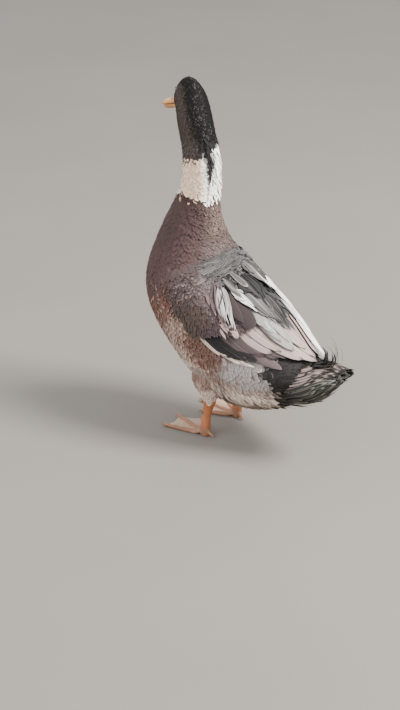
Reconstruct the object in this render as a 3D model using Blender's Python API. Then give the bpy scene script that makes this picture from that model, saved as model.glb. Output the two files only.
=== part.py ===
"""A standing domestic drake at life size, with folded wings, a cocked tail and the head turned to its right.

The bird faces +X, its left side is +Y and +Z is up. Lengths are in metres, angles in degrees.
The origin is on the floor, under the middle of the bird's bounding box.
"""

from collections import namedtuple

import bmesh
import bpy
import numpy as np
from mathutils import Vector

# Gap between pieces that touch
GAP = 0.0003

# Stance
LEFT_LEG = 0.0405
RIGHT_LEG = -0.0325
HOCK_HEIGHT = 0.058
ANKLE_HEIGHT = 0.013
HOCK_FORWARD = -0.006
ANKLE_FORWARD = 0.002
LEFT_TOE_IN = 18
RIGHT_TOE_IN = -6

# Head and bill
HEAD_TURN = -31
TURN_AXIS_FORWARD = 0.047
BILL_LENGTH = 0.051
EYE_RADIUS = 0.0054
EYE_STATION = 14.55
EYE_ANGLE = 66
EYE_SET_IN = 0.0062

# Feathers
SHAFT_THICKNESS = 0.0010
EDGE_THICKNESS = 0.0005
VANE_TILT = 7
SEED = 4

BODY_SIDES = 24

Station = namedtuple("Station", "forward height pitch above below half_width turn narrow", defaults=[0, 0])

# The flesh and small feathers, from the root of the tail to the face: one ring across the bird at a time.
# pitch is how far the bird's axis rises there, above and below are the ring's reach to back and belly,
# turn is its share of the head's turn and narrow makes it slimmer towards the back, as an egg.
BODY = {
    "tail_root": Station(-0.138, 0.110, 20, 0.030, 0.037, 0.030),
    "rump": Station(-0.112, 0.112, 24, 0.044, 0.057, 0.050),
    "abdomen": Station(-0.074, 0.120, 32, 0.058, 0.079, 0.065),
    "belly": Station(-0.032, 0.140, 40, 0.068, 0.089, 0.071),
    "middle": Station(0.005, 0.170, 44, 0.071, 0.088, 0.074),
    "breast": Station(0.037, 0.206, 53, 0.068, 0.086, 0.072),
    "crop": Station(0.052, 0.239, 67, 0.059, 0.076, 0.063),
    "neck_base": Station(0.054, 0.273, 80, 0.045, 0.055, 0.049),
    "neck_foot": Station(0.051, 0.305, 87, 0.0355, 0.040, 0.037),
    "collar": Station(0.043, 0.342, 93, 0.0275, 0.0275, 0.027),
    "neck_middle": Station(0.040, 0.378, 90, 0.0252, 0.0252, 0.0250, 0.1),
    "neck_top": Station(0.044, 0.409, 84, 0.0240, 0.0246, 0.0240, 0.35),
    "nape": Station(0.052, 0.434, 74, 0.0226, 0.0246, 0.0240, 0.75, 0.06),
    "occiput": Station(0.0645, 0.4545, 50, 0.0203, 0.0215, 0.0224, 1, 0.16),
    "crown": Station(0.0790, 0.4650, 13, 0.0228, 0.0215, 0.0200, 1, 0.28),
    "brow": Station(0.0920, 0.4585, -21, 0.0174, 0.0184, 0.0158, 1, 0.16),
    "bill_base": Station(0.1030, 0.4465, -22, 0.0114, 0.0100, 0.0114, 1),
}

# The form over which the folded wings lie, from the wrists to the crossed tips
MANTLE = {
    "wrist": Station(0.040, 0.207, 50, 0.071, 0.070, 0.0785),
    "forearm": Station(0.006, 0.170, 43, 0.080, 0.080, 0.0825),
    "elbow": Station(-0.032, 0.139, 40, 0.081, 0.080, 0.0810),
    "coverts": Station(-0.074, 0.117, 36, 0.071, 0.070, 0.0725),
    "secondaries": Station(-0.112, 0.106, 33, 0.054, 0.050, 0.0560),
    "primaries": Station(-0.142, 0.108, 28, 0.039, 0.035, 0.038),
    "tip": Station(-0.163, 0.121, 24, 0.027, 0.020, 0.022),
}

Tier = namedtuple(
    "Tier", "count root_start root_end tip_start tip_end root_lift tip_lift width rows", defaults=[4]
)

# Tiers of wing feathers from the lower edge of the wing to the back. A place is (station, angle) on the
# mantle, a lift is the height over it at the first and the last feather, and feathers are evenly spaced.
WING_TIERS = {
    "primaries": Tier(
        5, (1.7, 66), (2.2, 49), (3.05, 58), (3.84, 46), -0.0068, (-0.0062, -0.0046), 0.010
    ),
    "primary_coverts": Tier(
        3, (1.05, 77), (1.5, 64), (2.35, 71), (2.95, 57), -0.0064, (-0.0044, -0.0036), 0.013
    ),
    "secondaries": Tier(
        5, (1.25, 60), (1.95, 30), (2.45, 54), (3.55, 27), -0.0062, (-0.0034, -0.0030), 0.017
    ),
    "tertials": Tier(
        4, (1.2, 30), (1.9, 10.5), (3.4, 25), (4.65, 12.5), -0.0056, (-0.0026, -0.0008), 0.017, 5
    ),
    "lower_coverts": Tier(
        4, (0.40, 80), (0.95, 48), (1.35, 76), (2.0, 50), -0.0066, (-0.0022, -0.0016), 0.016
    ),
    "upper_coverts": Tier(
        4, (-0.15, 76), (0.3, 46), (0.85, 76), (1.3, 48), -0.0095, (-0.0008, -0.0002), 0.017
    ),
    "scapulars": Tier(
        6, (0.0, 42), (0.95, 8), (1.85, 45), (3.3, 10.5), -0.0095, (0.0002, 0.0006), 0.017, 5
    ),
}

# The form over which the tail feathers lie, from the rump to the tips
TAIL_FORM = {
    "root": Station(-0.140, 0.110, 0, 0.032, 0.036, 0.031),
    "base": Station(-0.160, 0.117, -12, 0.026, 0.033, 0.031),
    "middle": Station(-0.178, 0.124, -18, 0.0210, 0.024, 0.027),
    "tips": Station(-0.195, 0.130, -20, 0.0175, 0.016, 0.022),
    "end": Station(-0.207, 0.136, -20, 0.0145, 0.011, 0.018),
}

# Layers of tail feathers on each side, from the middle outwards
TAIL_TIERS = {
    "tail_feathers": Tier(
        5, (0.4, 10), (0.5, 100), (3.80, 9), (2.80, 108), -0.0085, (-0.0016, -0.0036), 0.0145
    ),
    "upper_coverts": Tier(
        3, (0.1, 18), (0.2, 84), (2.4, 17), (1.8, 88), -0.0050, (0.0010, 0.0006), 0.0210
    ),
    "under_coverts": Tier(
        2, (0.6, 160), (0.6, 124), (2.7, 158), (2.4, 124), -0.0085, (-0.0020, -0.0020), 0.0230
    ),
    "vent_feathers": Tier(
        2, (0.1, 163), (0.1, 110), (1.7, 162), (1.5, 112), -0.0050, (0.0008, 0.0008), 0.0220
    ),
}


def natural_spline(knots, values, at):
    """Values of the natural cubic spline through (knots, values) at the places given."""
    knots, values, at = (np.asarray(x, float) for x in (knots, values, at))
    count = len(knots)
    step = np.diff(knots)
    slope = np.diff(values, axis=0) / step[:, None]
    system = np.eye(count)
    right = np.zeros_like(values)
    for i in range(1, count - 1):
        system[i, i - 1 : i + 2] = step[i - 1], 2 * (step[i - 1] + step[i]), step[i]
        right[i] = 6 * (slope[i] - slope[i - 1])
    bend = np.linalg.solve(system, right)
    i = np.clip(np.searchsorted(knots, at, side="right") - 1, 0, count - 2)
    along = (at - knots[i])[..., None]
    width = step[i][..., None]
    linear = slope[i] - width * (2 * bend[i] + bend[i + 1]) / 6
    cubic = (bend[i + 1] - bend[i]) / (6 * width)
    return values[i] + along * linear + along**2 * bend[i] / 2 + along**3 * cubic


class Form:
    """A smooth surface through rings set across a bent line. A place on it is a station number and an angle
    round the ring from the back, positive to the bird's left."""

    def __init__(self, stations):
        self.names = list(stations)
        self.knots = np.arange(len(stations))
        self.values = np.array(list(stations.values()), float)

    def at(self, name):
        return self.names.index(name)

    def frame(self, station):
        """Centre, directions along, to the back and to the left, reaches above and below, half width and
        narrowing of a ring."""
        v = natural_spline(self.knots, self.values, station)
        pitch = np.radians(v[..., 2])
        turn = np.radians(v[..., 6] * HEAD_TURN)
        zero = np.zeros_like(pitch)
        centre = np.stack([v[..., 0], zero, v[..., 1]], -1)
        tangent = np.stack([np.cos(pitch), zero, np.sin(pitch)], -1)
        back = np.stack([-np.sin(pitch), zero, np.cos(pitch)], -1)
        left = np.stack([zero, zero + 1, zero], -1)
        axis = np.array([TURN_AXIS_FORWARD, 0, 0])
        centre = turned(centre - axis, turn) + axis
        directions = [turned(d, turn) for d in (tangent, back, left)]
        return centre, *directions, v[..., 3], v[..., 4], v[..., 5], v[..., 7]

    def point(self, station, angle, lift=0.0):
        """Points of the surface, moved out by lift."""
        station, angle, lift = np.broadcast_arrays(np.asarray(station, float), angle, lift)
        centre, _, back, left, above, below, half_width, narrow = self.frame(station)
        angle = np.radians(angle)
        reach = np.where(np.cos(angle) > 0, above, below) + lift
        width = half_width * (1 - narrow * np.cos(angle)) + lift
        return centre + back * (reach * np.cos(angle))[..., None] + left * (width * np.sin(angle))[..., None]

    def normal(self, station, angle):
        """Outward directions of the surface."""
        small = 0.02
        along = self.point(station + small, angle) - self.point(station - small, angle)
        around = self.point(station, angle + 1) - self.point(station, angle - 1)
        return unit(np.cross(around, along))

    def rings(self, stations, lift=0.0):
        angles = np.arange(BODY_SIDES) * 360 / BODY_SIDES
        return self.point(np.asarray(stations, float)[:, None], angles[None, :], lift)


def unit(vectors):
    return vectors / np.linalg.norm(vectors, axis=-1, keepdims=True)


def turned(vectors, angle):
    """Vectors turned about the vertical by an angle in radians."""
    x, y, z = vectors[..., 0], vectors[..., 1], vectors[..., 2]
    return np.stack([x * np.cos(angle) - y * np.sin(angle), x * np.sin(angle) + y * np.cos(angle), z], -1)


def blend(start, stop, share):
    """Between two values, smoothly."""
    share = np.clip(share, 0, 1)
    return start + (stop - start) * share * share * (3 - 2 * share)


body = Form(BODY)
mantle = Form(MANTLE)
tail_form = Form(TAIL_FORM)


def clear_scene():
    for old in list(bpy.data.objects):
        bpy.data.objects.remove(old)


def material(name, colour, roughness):
    made = bpy.data.materials.new(name)
    made.use_nodes = True
    shader = made.node_tree.nodes["Principled BSDF"]
    shader.inputs["Base Color"].default_value = (*colour, 1)
    shader.inputs["Roughness"].default_value = roughness
    shader.inputs["Metallic"].default_value = 0
    return made


def mesh_object(name, points, faces):
    """An object from points and faces, with the faces pointing out."""
    mesh = bpy.data.meshes.new(name)
    mesh.from_pydata([tuple(p) for p in points], [], faces)
    work = bmesh.new()
    work.from_mesh(mesh)
    bmesh.ops.recalc_face_normals(work, faces=work.faces)
    if work.calc_volume(signed=True) < 0:
        bmesh.ops.reverse_faces(work, faces=work.faces)
    work.to_mesh(mesh)
    work.free()
    made = bpy.data.objects.new(name, mesh)
    bpy.context.scene.collection.objects.link(made)
    return made


def loft(name, rings):
    """A closed solid through rings of points, with a flat cap at each end."""
    count, sides, _ = rings.shape
    faces = []
    for i in range(count - 1):
        for j in range(sides):
            a, b = i * sides + j, i * sides + (j + 1) % sides
            faces.append((a, b, b + sides, a + sides))
    faces.append(tuple(range(sides)))
    faces.append(tuple(range((count - 1) * sides, count * sides)))
    return mesh_object(name, rings.reshape(-1, 3), faces)


def plate(name, grid, normals, above, below):
    """A closed thin solid about a grid of points: above and below are its reach each way along the normals.
    Both faces are split into triangles alike."""
    rows, columns, _ = grid.shape
    above = np.broadcast_to(above, (rows, columns))[..., None]
    below = np.broadcast_to(below, (rows, columns))[..., None]
    top, bottom = grid + normals * above, grid - normals * below
    points = np.concatenate([top.reshape(-1, 3), bottom.reshape(-1, 3)])
    under = rows * columns
    faces = []
    for i in range(rows - 1):
        for j in range(columns - 1):
            a, b = i * columns + j, i * columns + j + 1
            c, d = b + columns, a + columns
            for face in ((a, b, c), (a, c, d)):
                faces.append(face)
                faces.append(tuple(under + k for k in reversed(face)))
    rim = [(0, j) for j in range(columns)]
    rim += [(i, columns - 1) for i in range(1, rows)]
    rim += [(rows - 1, j) for j in range(columns - 2, -1, -1)]
    rim += [(i, 0) for i in range(rows - 2, 0, -1)]
    rim = [i * columns + j for i, j in rim]
    for a, b in zip(rim, rim[1:] + rim[:1]):
        faces.append((a, b, b + under))
        faces.append((a, b + under, a + under))
    return mesh_object(name, points, faces)


def limb(name, centres, radii, sides=12, flatten=1.0):
    """A closed tapering rod through centres. Its rings are level on an upright rod and square to its line on
    others, and flatten times as deep as wide."""
    centres = np.asarray(centres, float)
    radii = np.asarray(radii, float)
    along = unit(np.gradient(centres, axis=0))
    if np.abs(along[:, 2]).min() > 0.7:
        level = np.tile([0.0, 1.0, 0.0], (len(centres), 1))
        rise = np.tile([1.0, 0.0, 0.0], (len(centres), 1))
    else:
        level = unit(np.cross(along, [0.0, 0.0, 1.0]))
        rise = unit(np.cross(level, along))
    angle = np.arange(sides) * 2 * np.pi / sides
    across = (level * radii[:, None])[:, None, :] * np.cos(angle)[None, :, None]
    up = (rise * radii[:, None] * flatten)[:, None, :] * np.sin(angle)[None, :, None]
    return loft(name, centres[:, None, :] + across + up)


def boolean(target, operation, tools, solver="MANIFOLD"):
    """The target after one Boolean with closed tools, which are then removed. It keeps its largest
    surface."""
    group = bpy.data.collections.new(target.name + "_tools")
    bpy.context.scene.collection.children.link(group)
    for tool in tools:
        for owner in tool.users_collection:
            owner.objects.unlink(tool)
        group.objects.link(tool)
        tool.hide_render = True
        tool.display_type = "WIRE"
    modifier = target.modifiers.new(operation.lower(), "BOOLEAN")
    modifier.operation = operation
    modifier.operand_type = "COLLECTION"
    modifier.collection = group
    modifier.solver = solver
    graph = bpy.context.evaluated_depsgraph_get()
    result = bpy.data.meshes.new_from_object(target.evaluated_get(graph))
    target.modifiers.clear()
    target.data = result
    for tool in tools:
        bpy.data.objects.remove(tool)
    bpy.data.collections.remove(group)
    keep_largest_surface(target)
    return target


def keep_largest_surface(target):
    work = bmesh.new()
    work.from_mesh(target.data)
    bmesh.ops.triangulate(work, faces=work.faces)
    unseen = set(work.faces)
    surfaces = []
    while unseen:
        stack = [unseen.pop()]
        surface = []
        while stack:
            face = stack.pop()
            surface.append(face)
            for edge in face.edges:
                for other in edge.link_faces:
                    if other in unseen:
                        unseen.remove(other)
                        stack.append(other)
        surfaces.append(surface)
    largest = max(surfaces, key=surface_volume)
    dropped = [face for surface in surfaces if surface is not largest for face in surface]
    bmesh.ops.delete(work, geom=dropped, context="FACES")
    work.to_mesh(target.data)
    work.free()


def surface_volume(faces):
    corners = [[vertex.co for vertex in face.verts] for face in faces]
    return sum(a.dot(b.cross(c)) for a, b, c in corners) / 6


def finish(node, surface, parent):
    """Gives a node its material, smooth shading and parent."""
    node.data.materials.clear()
    node.data.materials.append(surface)
    node.data.shade_smooth()
    node.data.set_sharp_from_angle(angle=np.radians(40))
    node.parent = parent
    for owner in list(node.users_collection):
        owner.objects.unlink(node)
    parent.users_collection[0].objects.link(node)
    return node


def body_piece(name, start, stop, count, lift=0.0):
    """One length of the body between two named rings, with half a gap cut off at each end."""
    rings = body.rings(np.linspace(body.at(start), body.at(stop), count), lift)
    _, tangent, *_ = body.frame(np.array([body.at(start), body.at(stop)], float))
    rings[0] += tangent[0] * GAP / 2
    rings[-1] -= tangent[1] * GAP / 2
    return loft(name, rings)


def torso_cutter():
    """The torso, larger by the gap, which cuts what lies on it."""
    rings = body.rings(np.linspace(body.at("tail_root"), body.at("neck_base"), 20), GAP)
    return loft("torso_cutter", rings)


def eye_centre(side):
    centre, _, back, left, _, _, half_width, _ = body.frame(np.array(EYE_STATION))
    out = np.radians(EYE_ANGLE)
    reach = half_width - EYE_SET_IN
    return centre + back * reach * np.cos(out) + left * side * reach * np.sin(out)


def ball(name, centre, radius, segments=16, rings=10):
    mesh = bpy.data.meshes.new(name)
    work = bmesh.new()
    bmesh.ops.create_uvsphere(work, u_segments=segments, v_segments=rings, radius=radius)
    bmesh.ops.translate(work, verts=work.verts, vec=Vector(centre))
    work.to_mesh(mesh)
    work.free()
    made = bpy.data.objects.new(name, mesh)
    bpy.context.scene.collection.objects.link(made)
    return made


def eyelid(side):
    """A swelling round the eye, of which the eye's socket leaves the raised rim."""
    return ball("eyelid", eye_centre(side), EYE_RADIUS + 0.0011, 10, 7)


def head():
    made = body_piece("head", "neck_top", "bill_base", 15)
    boolean(made, "UNION", [eyelid(1), eyelid(-1)])
    outward = [eye_centre(side) - eye_centre(-side) for side in (1, -1)]
    sockets = []
    for side, out in zip((1, -1), outward):
        middle = eye_centre(side) + unit(out) * 0.0012
        sockets.append(ball("socket", middle, EYE_RADIUS + GAP, 12, 8))
    return boolean(made, "DIFFERENCE", sockets)


def eye(name, side):
    out = unit(eye_centre(side) - eye_centre(-side))
    return ball(name, eye_centre(side) + out * 0.0012, EYE_RADIUS, 12, 8)


def bill_ring(share, upper):
    """One ring across the bill at a share of its length from the face."""
    centre, tangent, up, left, *_ = body.frame(np.array(float(body.at("bill_base"))))
    width = blend(0.0112, 0.0134, (share - 0.2) / 0.5)
    end = np.clip((share - 0.90) / 0.10, 0, 1)
    width = width * np.sqrt(1.001 - end**4)
    angle = np.radians(np.arange(14) * 360 / 14)
    slope = 0.0035 * share + 0.0004 * end**2
    if upper:
        height = blend(0.0108, 0.0074, share / 0.6) * (1 - 0.5 * end**2)
        rise = np.where(np.sin(angle) > 0, height * np.sin(angle), 0.0012 * np.sin(angle))
        length = BILL_LENGTH
    else:
        width = width * 0.88
        depth = blend(0.0084, 0.0056, share / 0.6) * (1 - 0.5 * end**2)
        rise = np.where(np.sin(angle) < 0, depth * np.sin(angle), -0.0002 * np.sin(angle)) - 0.0012 - 2 * GAP
        length = BILL_LENGTH * 0.965
    middle = centre + tangent * (GAP + share * length) + up * slope
    return middle + left * (width * np.cos(angle))[:, None] + up * rise[:, None]


def bill(name, upper):
    shares = 1 - (1 - np.linspace(0, 1, 10)) ** 1.4
    shares[-1] = 0.999
    made = loft(name, np.array([bill_ring(s, upper) for s in shares]))
    if upper:
        boolean(made, "DIFFERENCE", [nostril(1), nostril(-1)])
    return made


def nostril(side):
    """A slanting oval that opens through the side of the upper bill near the face."""
    centre, tangent, up, left, *_ = body.frame(np.array(float(body.at("bill_base"))))
    middle = centre + tangent * 0.0155 + up * 0.0064 + left * side * 0.0084
    made = ball("nostril", (0, 0, 0), 1.0, 8, 6)
    axes = np.array([tangent * 0.0036, left * 0.0022, up * 0.0012])
    for vertex in made.data.vertices:
        vertex.co = Vector(middle + np.array(vertex.co) @ axes)
    return made


def thigh(name, across):
    """The feathered thigh from inside the belly down to the hock, cut to the torso."""
    heights = np.array([0.112, 0.094, 0.080, 0.068, HOCK_HEIGHT + GAP])
    radii = np.array([0.024, 0.024, 0.0200, 0.0135, 0.0088])
    forward = np.linspace(-0.004, HOCK_FORWARD, len(heights))
    centres = np.stack([forward, np.full_like(heights, across), heights], -1)
    made = limb(name, centres, radii, 16)
    return boolean(made, "DIFFERENCE", [torso_cutter()])


def shank(name, across):
    """The bare scaled leg from the hock to the ankle."""
    heights = np.array([HOCK_HEIGHT, 0.054, 0.047, 0.038, 0.028, 0.019, ANKLE_HEIGHT + GAP])
    radii = np.array([0.0076, 0.0080, 0.0064, 0.0050, 0.0048, 0.0056, 0.0064])
    share = (HOCK_HEIGHT - heights) / (HOCK_HEIGHT - ANKLE_HEIGHT)
    forward = HOCK_FORWARD + (ANKLE_FORWARD - HOCK_FORWARD) * share
    centres = np.stack([forward, np.full_like(heights, across), heights], -1)
    return limb(name, centres, radii, 12, flatten=1.2)


Toe = namedtuple("Toe", "spread length joints")
TOES = {
    "inner": Toe(-34, 0.050, 2),
    "middle": Toe(0, 0.068, 3),
    "outer": Toe(34, 0.063, 4),
}
TOE_HEIGHT = 0.0028
WEB_REACH = 0.93


def toe_line(toe, share):
    """Points of a toe's middle line, flat on the floor, in the foot's own frame with the toes forward."""
    angle = np.radians(toe.spread * (1 - 0.12 * share))
    drop = blend(ANKLE_HEIGHT * 0.55, TOE_HEIGHT, share / 0.3)
    reach = toe.length * share
    return np.stack([reach * np.cos(angle), reach * np.sin(angle), drop], -1)


def toe_solid(toe):
    shares = np.linspace(0, 1, toe.joints + 3)
    knuckle = 0.5 + 0.5 * np.cos(np.pi * (toe.joints + 2) * shares)
    radii = (0.0044 - 0.0016 * shares) * (0.85 + 0.15 * knuckle)
    return limb("toe", toe_line(toe, shares), radii, 8, flatten=0.9)


def claw_solid(toe):
    """A short curved claw at the end of a toe."""
    share = np.linspace(0, 1, 4)
    tip = toe_line(toe, np.array(1.0))
    way = unit(tip - toe_line(toe, np.array(0.9)))
    centres = tip - way * 0.0022 + way[None, :] * (share * 0.0085)[:, None]
    centres[:, 2] += 0.0012 * np.sin(np.pi * share) - 0.0006 * share
    return limb("claw", centres, 0.0021 * (1 - 0.8 * share), 6)


def web_solid(first, second):
    """The skin between two toes, hollowed at its front edge."""
    share = np.linspace(0.08, WEB_REACH, 4)
    left, right = toe_line(first, share), toe_line(second, share)
    across = np.linspace(0, 1, 4)
    hollow = 1 - 0.15 * np.sin(np.pi * across)
    grid = left[:, None, :] * (1 - across)[None, :, None] + right[:, None, :] * across[None, :, None]
    grid[..., :2] *= hollow[None, :, None]
    grid[..., 2] = blend(0.0055, 0.0017, share / 0.35)[:, None]
    normals = np.zeros_like(grid)
    normals[..., 2] = 1
    return plate("web", grid, normals, 0.0006, 0.0006)


def hind_toe():
    share = np.linspace(0, 1, 5)
    centres = np.stack([-0.003 - 0.014 * share, -0.004 * share, 0.0080 - 0.0074 * share**1.3], -1)
    return limb("hind_toe", centres, 0.0028 * (1 - 0.7 * share), 6)


def ankle_solid():
    heights = np.array([-0.0008, 0.003, 0.008, ANKLE_HEIGHT])
    centres = np.stack([np.zeros(4), np.zeros(4), heights], -1)
    return limb("ankle", centres, np.array([0.0048, 0.0062, 0.0066, 0.0064]), 10, flatten=1.15)


def foot(name, side, across, toe_in):
    """Three webbed toes, a hind toe and their claws, fused and cut to small flats on the floor."""
    made = ankle_solid()
    made.name = name
    toes = list(TOES.values())
    pieces = [toe_solid(t) for t in toes] + [claw_solid(t) for t in toes] + [hind_toe()]
    pieces += [web_solid(a, b) for a, b in zip(toes, toes[1:])]
    boolean(made, "UNION", pieces)
    turn = np.radians(-side * toe_in)
    for vertex in made.data.vertices:
        x, y, z = vertex.co
        placed = turned(np.array([x, y * side, z]), turn)
        vertex.co = (placed[0] + ANKLE_FORWARD, placed[1] + across, z)
    if side < 0:
        made.data.flip_normals()
    return boolean(made, "DIFFERENCE", [floor_cutter()])


def floor_cutter():
    """All that lies under the floor."""
    mesh = bpy.data.meshes.new("floor_cutter")
    work = bmesh.new()
    bmesh.ops.create_cube(work, size=0.5)
    bmesh.ops.translate(work, verts=work.verts, vec=(0, 0, -0.25))
    work.to_mesh(mesh)
    work.free()
    made = bpy.data.objects.new("floor_cutter", mesh)
    bpy.context.scene.collection.objects.link(made)
    return made


def vane(name, line, normals, half_width, tilt):
    """One feather: a thin blade about a middle line, thickest along its shaft. tilt turns it about its
    length, in degrees, so that neighbours overlap."""
    rows = len(line)
    along = unit(np.gradient(line, axis=0))
    across = unit(np.cross(normals, along))
    share = np.linspace(0, 1, rows)
    outline = np.interp(share, [0, 0.25, 0.6, 0.85, 1], [0.62, 0.95, 1, 0.74, 0.26]) * half_width
    column = np.array([-1.0, 0.0, 1.0])
    reach = outline[:, None] * column
    height = reach * np.tan(np.radians(tilt))
    grid = line[:, None] + across[:, None] * reach[..., None] + normals[:, None] * height[..., None]
    thick = np.where(column == 0, SHAFT_THICKNESS, EDGE_THICKNESS) / 2
    thick = thick * np.interp(share, [0, 0.8, 1], [1, 1, 0.8])[:, None]
    facing = np.repeat(normals[:, None], 3, axis=1)
    return plate(name, grid, facing, thick, thick)


def between(start, end, share):
    start = np.array(start, float)
    return start + (np.array(end, float) - start) * share


def placed_vane(form, side, tier, share, draw, tilt):
    """A feather of a tier, share of the way along it, laid over a form on one side of the bird."""
    root = between(tier.root_start, tier.root_end, share)
    tip = between(tier.tip_start, tier.tip_end, share) + draw.uniform(-1, 1, 2) * (0.03, 0.3)
    s = np.linspace(0, 1, tier.rows)
    station = root[0] + (tip[0] - root[0]) * s
    angle = root[1] + (tip[1] - root[1]) * s
    lift = tier.root_lift + (between(*tier.tip_lift, share) - tier.root_lift) * s**0.6
    line = form.point(station, side * angle, lift)
    normals = form.normal(station, side * angle)
    return vane("vane", line, normals, tier.width / 2 * draw.uniform(0.96, 1.04), tilt)


def wing_core(name, side):
    """The arm and the feather roots: a low swelling on the torso from the shoulder to below the elbow."""
    stations = np.linspace(-0.1, 2.55, 9)[:, None]
    across = np.linspace(0, 1, 7)[None, :]
    upper = np.interp(stations, [-0.1, 1, 2.55], [32, 7, 12])
    lower = np.interp(stations, [-0.1, 0.7, 1.6, 2.55], [68, 80, 74, 54])
    angle = side * (upper + (lower - upper) * across)
    crown = np.sqrt(np.clip(1 - (2 * across - 1) ** 4, 0.02, 1))
    ends = np.sqrt(np.clip(1 - np.abs((stations - 1.25) / 1.36) ** 4, 0.02, 1))
    lift = -0.0042 - 0.008 * (1 - crown * ends)
    grid = mantle.point(stations, angle, lift)
    return plate(name, grid, mantle.normal(stations, angle), 0, 0.016 + 0.0042 + lift)


def wing(name, side):
    """A folded wing: tiers of overlapping vanes rooted in the arm, cut to the torso."""
    draw = np.random.default_rng(SEED)
    made = wing_core(name, side)
    vanes = []
    for tier in WING_TIERS.values():
        for share in np.linspace(0, 1, tier.count):
            vanes.append(placed_vane(mantle, side, tier, share, draw, side * -VANE_TILT))
    boolean(made, "UNION", vanes)
    return boolean(made, "DIFFERENCE", [torso_cutter()])


def curl(side, rise, width):
    """A drake's curled tail feather, which turns up and forward over the tail."""
    turn = np.radians(np.linspace(-25, 175, 8))
    away = np.linspace(0, 1, 8)
    start = np.array([-0.160, side, 0.137])
    line = np.stack([
        start[0] - 0.012 - rise * 0.45 * np.sin(turn) - 0.004 * away,
        np.full(8, side),
        start[2] + rise * 0.52 * (1 - np.cos(turn)) + 0.004 * away,
    ], -1)
    line = np.vstack([start + (-0.001, 0, -0.006), line])
    along = unit(np.gradient(line, axis=0))
    normals = np.cross(along, [0.0, 1.0, 0.0])
    return vane("curl", line, normals, width / 2, 0)


def tail_core(name):
    """The root of the tail, which meets the end of the torso and tapers back among the feathers."""
    centre, tangent, back, left, above, below, half_width, _ = body.frame(np.array(0.0))
    angle = np.radians(np.arange(18) * 20)
    reach = np.where(np.cos(angle) > 0, above, below)
    cap = centre - tangent * GAP / 2 + back * (reach * np.cos(angle))[:, None]
    cap = cap + left * (half_width * np.sin(angle))[:, None]
    rings = [cap]
    for share in np.linspace(0, 1, 5):
        inset = -0.0025 - 0.020 * share**2.2
        rings.append(tail_form.point(0.8 + 0.9 * share, np.degrees(angle), inset))
    return loft(name, np.array(rings))


def tail(name):
    """Tail feathers in a drooping fan, with coverts over and under them and two curls."""
    draw = np.random.default_rng(SEED)
    made = tail_core(name)
    vanes = [curl(-0.005, 0.030, 0.008), curl(0.006, 0.023, 0.008)]
    for label, tier in TAIL_TIERS.items():
        tilt = -VANE_TILT if label in ("tail_feathers", "upper_coverts") else VANE_TILT
        for side in (1, -1):
            for share in np.linspace(0, 1, tier.count):
                vanes.append(placed_vane(tail_form, side, tier, share, draw, side * tilt))
    boolean(made, "UNION", vanes)
    return boolean(made, "DIFFERENCE", [torso_cutter()])


def centre_on_floor(root, nodes):
    """Moves the bird so that the origin is under the middle of its bounding box."""
    bpy.context.view_layer.update()
    corners = [node.matrix_world @ vertex.co for node in nodes for vertex in node.data.vertices]
    for axis in (0, 1):
        reach = [corner[axis] for corner in corners]
        root.location[axis] = -(min(reach) + max(reach)) / 2


def main():
    clear_scene()
    group = bpy.data.collections.new("drake")
    bpy.context.scene.collection.children.link(group)
    root = bpy.data.objects.new("drake_root", None)
    group.objects.link(root)

    dark = material("dark_head", (0.030, 0.030, 0.028), 0.5)
    collar = material("neck", (0.50, 0.42, 0.36), 0.8)
    claret = material("plumage", (0.16, 0.10, 0.085), 0.8)
    grey = material("wing", (0.38, 0.36, 0.36), 0.7)
    black = material("tail", (0.08, 0.075, 0.07), 0.7)
    orange = material("leg", (0.62, 0.22, 0.09), 0.45)
    yellow = material("bill", (0.80, 0.48, 0.18), 0.4)
    glossy = material("eye", (0.02, 0.012, 0.01), 0.1)

    nodes = [
        finish(body_piece("torso", "tail_root", "neck_base", 20), claret, root),
        finish(body_piece("neck", "neck_base", "neck_top", 10), collar, root),
        finish(head(), dark, root),
        finish(bill("bill_upper", True), yellow, root),
        finish(bill("bill_lower", False), yellow, root),
        finish(tail("tail"), black, root),
    ]
    legs = ((1, "left", LEFT_LEG, LEFT_TOE_IN), (-1, "right", RIGHT_LEG, RIGHT_TOE_IN))
    for side, word, across, toe_in in legs:
        nodes += [
            finish(eye("eye_" + word, side), glossy, root),
            finish(wing("wing_" + word, side), grey, root),
            finish(thigh("thigh_" + word, across), claret, root),
            finish(shank("shank_" + word, across), orange, root),
            finish(foot("foot_" + word, side, across, toe_in), orange, root),
        ]
    centre_on_floor(root, nodes)


main()
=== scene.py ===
from collections import namedtuple

import bmesh
import bpy
import numpy as np
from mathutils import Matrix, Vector


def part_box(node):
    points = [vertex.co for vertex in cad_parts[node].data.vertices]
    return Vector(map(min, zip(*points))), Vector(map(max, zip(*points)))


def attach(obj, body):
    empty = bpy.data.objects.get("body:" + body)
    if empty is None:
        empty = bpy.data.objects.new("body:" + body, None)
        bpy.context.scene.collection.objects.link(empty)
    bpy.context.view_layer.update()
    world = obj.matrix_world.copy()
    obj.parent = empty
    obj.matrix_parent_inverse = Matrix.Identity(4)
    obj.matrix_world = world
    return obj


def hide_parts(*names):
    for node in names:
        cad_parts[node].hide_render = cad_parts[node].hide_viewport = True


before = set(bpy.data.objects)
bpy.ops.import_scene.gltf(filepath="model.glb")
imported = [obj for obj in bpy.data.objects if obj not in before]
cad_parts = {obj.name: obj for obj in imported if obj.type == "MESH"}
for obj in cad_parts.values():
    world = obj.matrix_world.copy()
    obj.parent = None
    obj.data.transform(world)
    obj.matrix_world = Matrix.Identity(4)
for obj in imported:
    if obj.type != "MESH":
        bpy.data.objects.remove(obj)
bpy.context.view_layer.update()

# The drake's skin: one hide over breast, belly, back, neck, head and thighs, drawn over a shaped core and cut
# out where the eyes sit. It lies below the coat by the depth of the feathers and carries the same markings,
# only duller, so that no pale gap shows between them.

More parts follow.
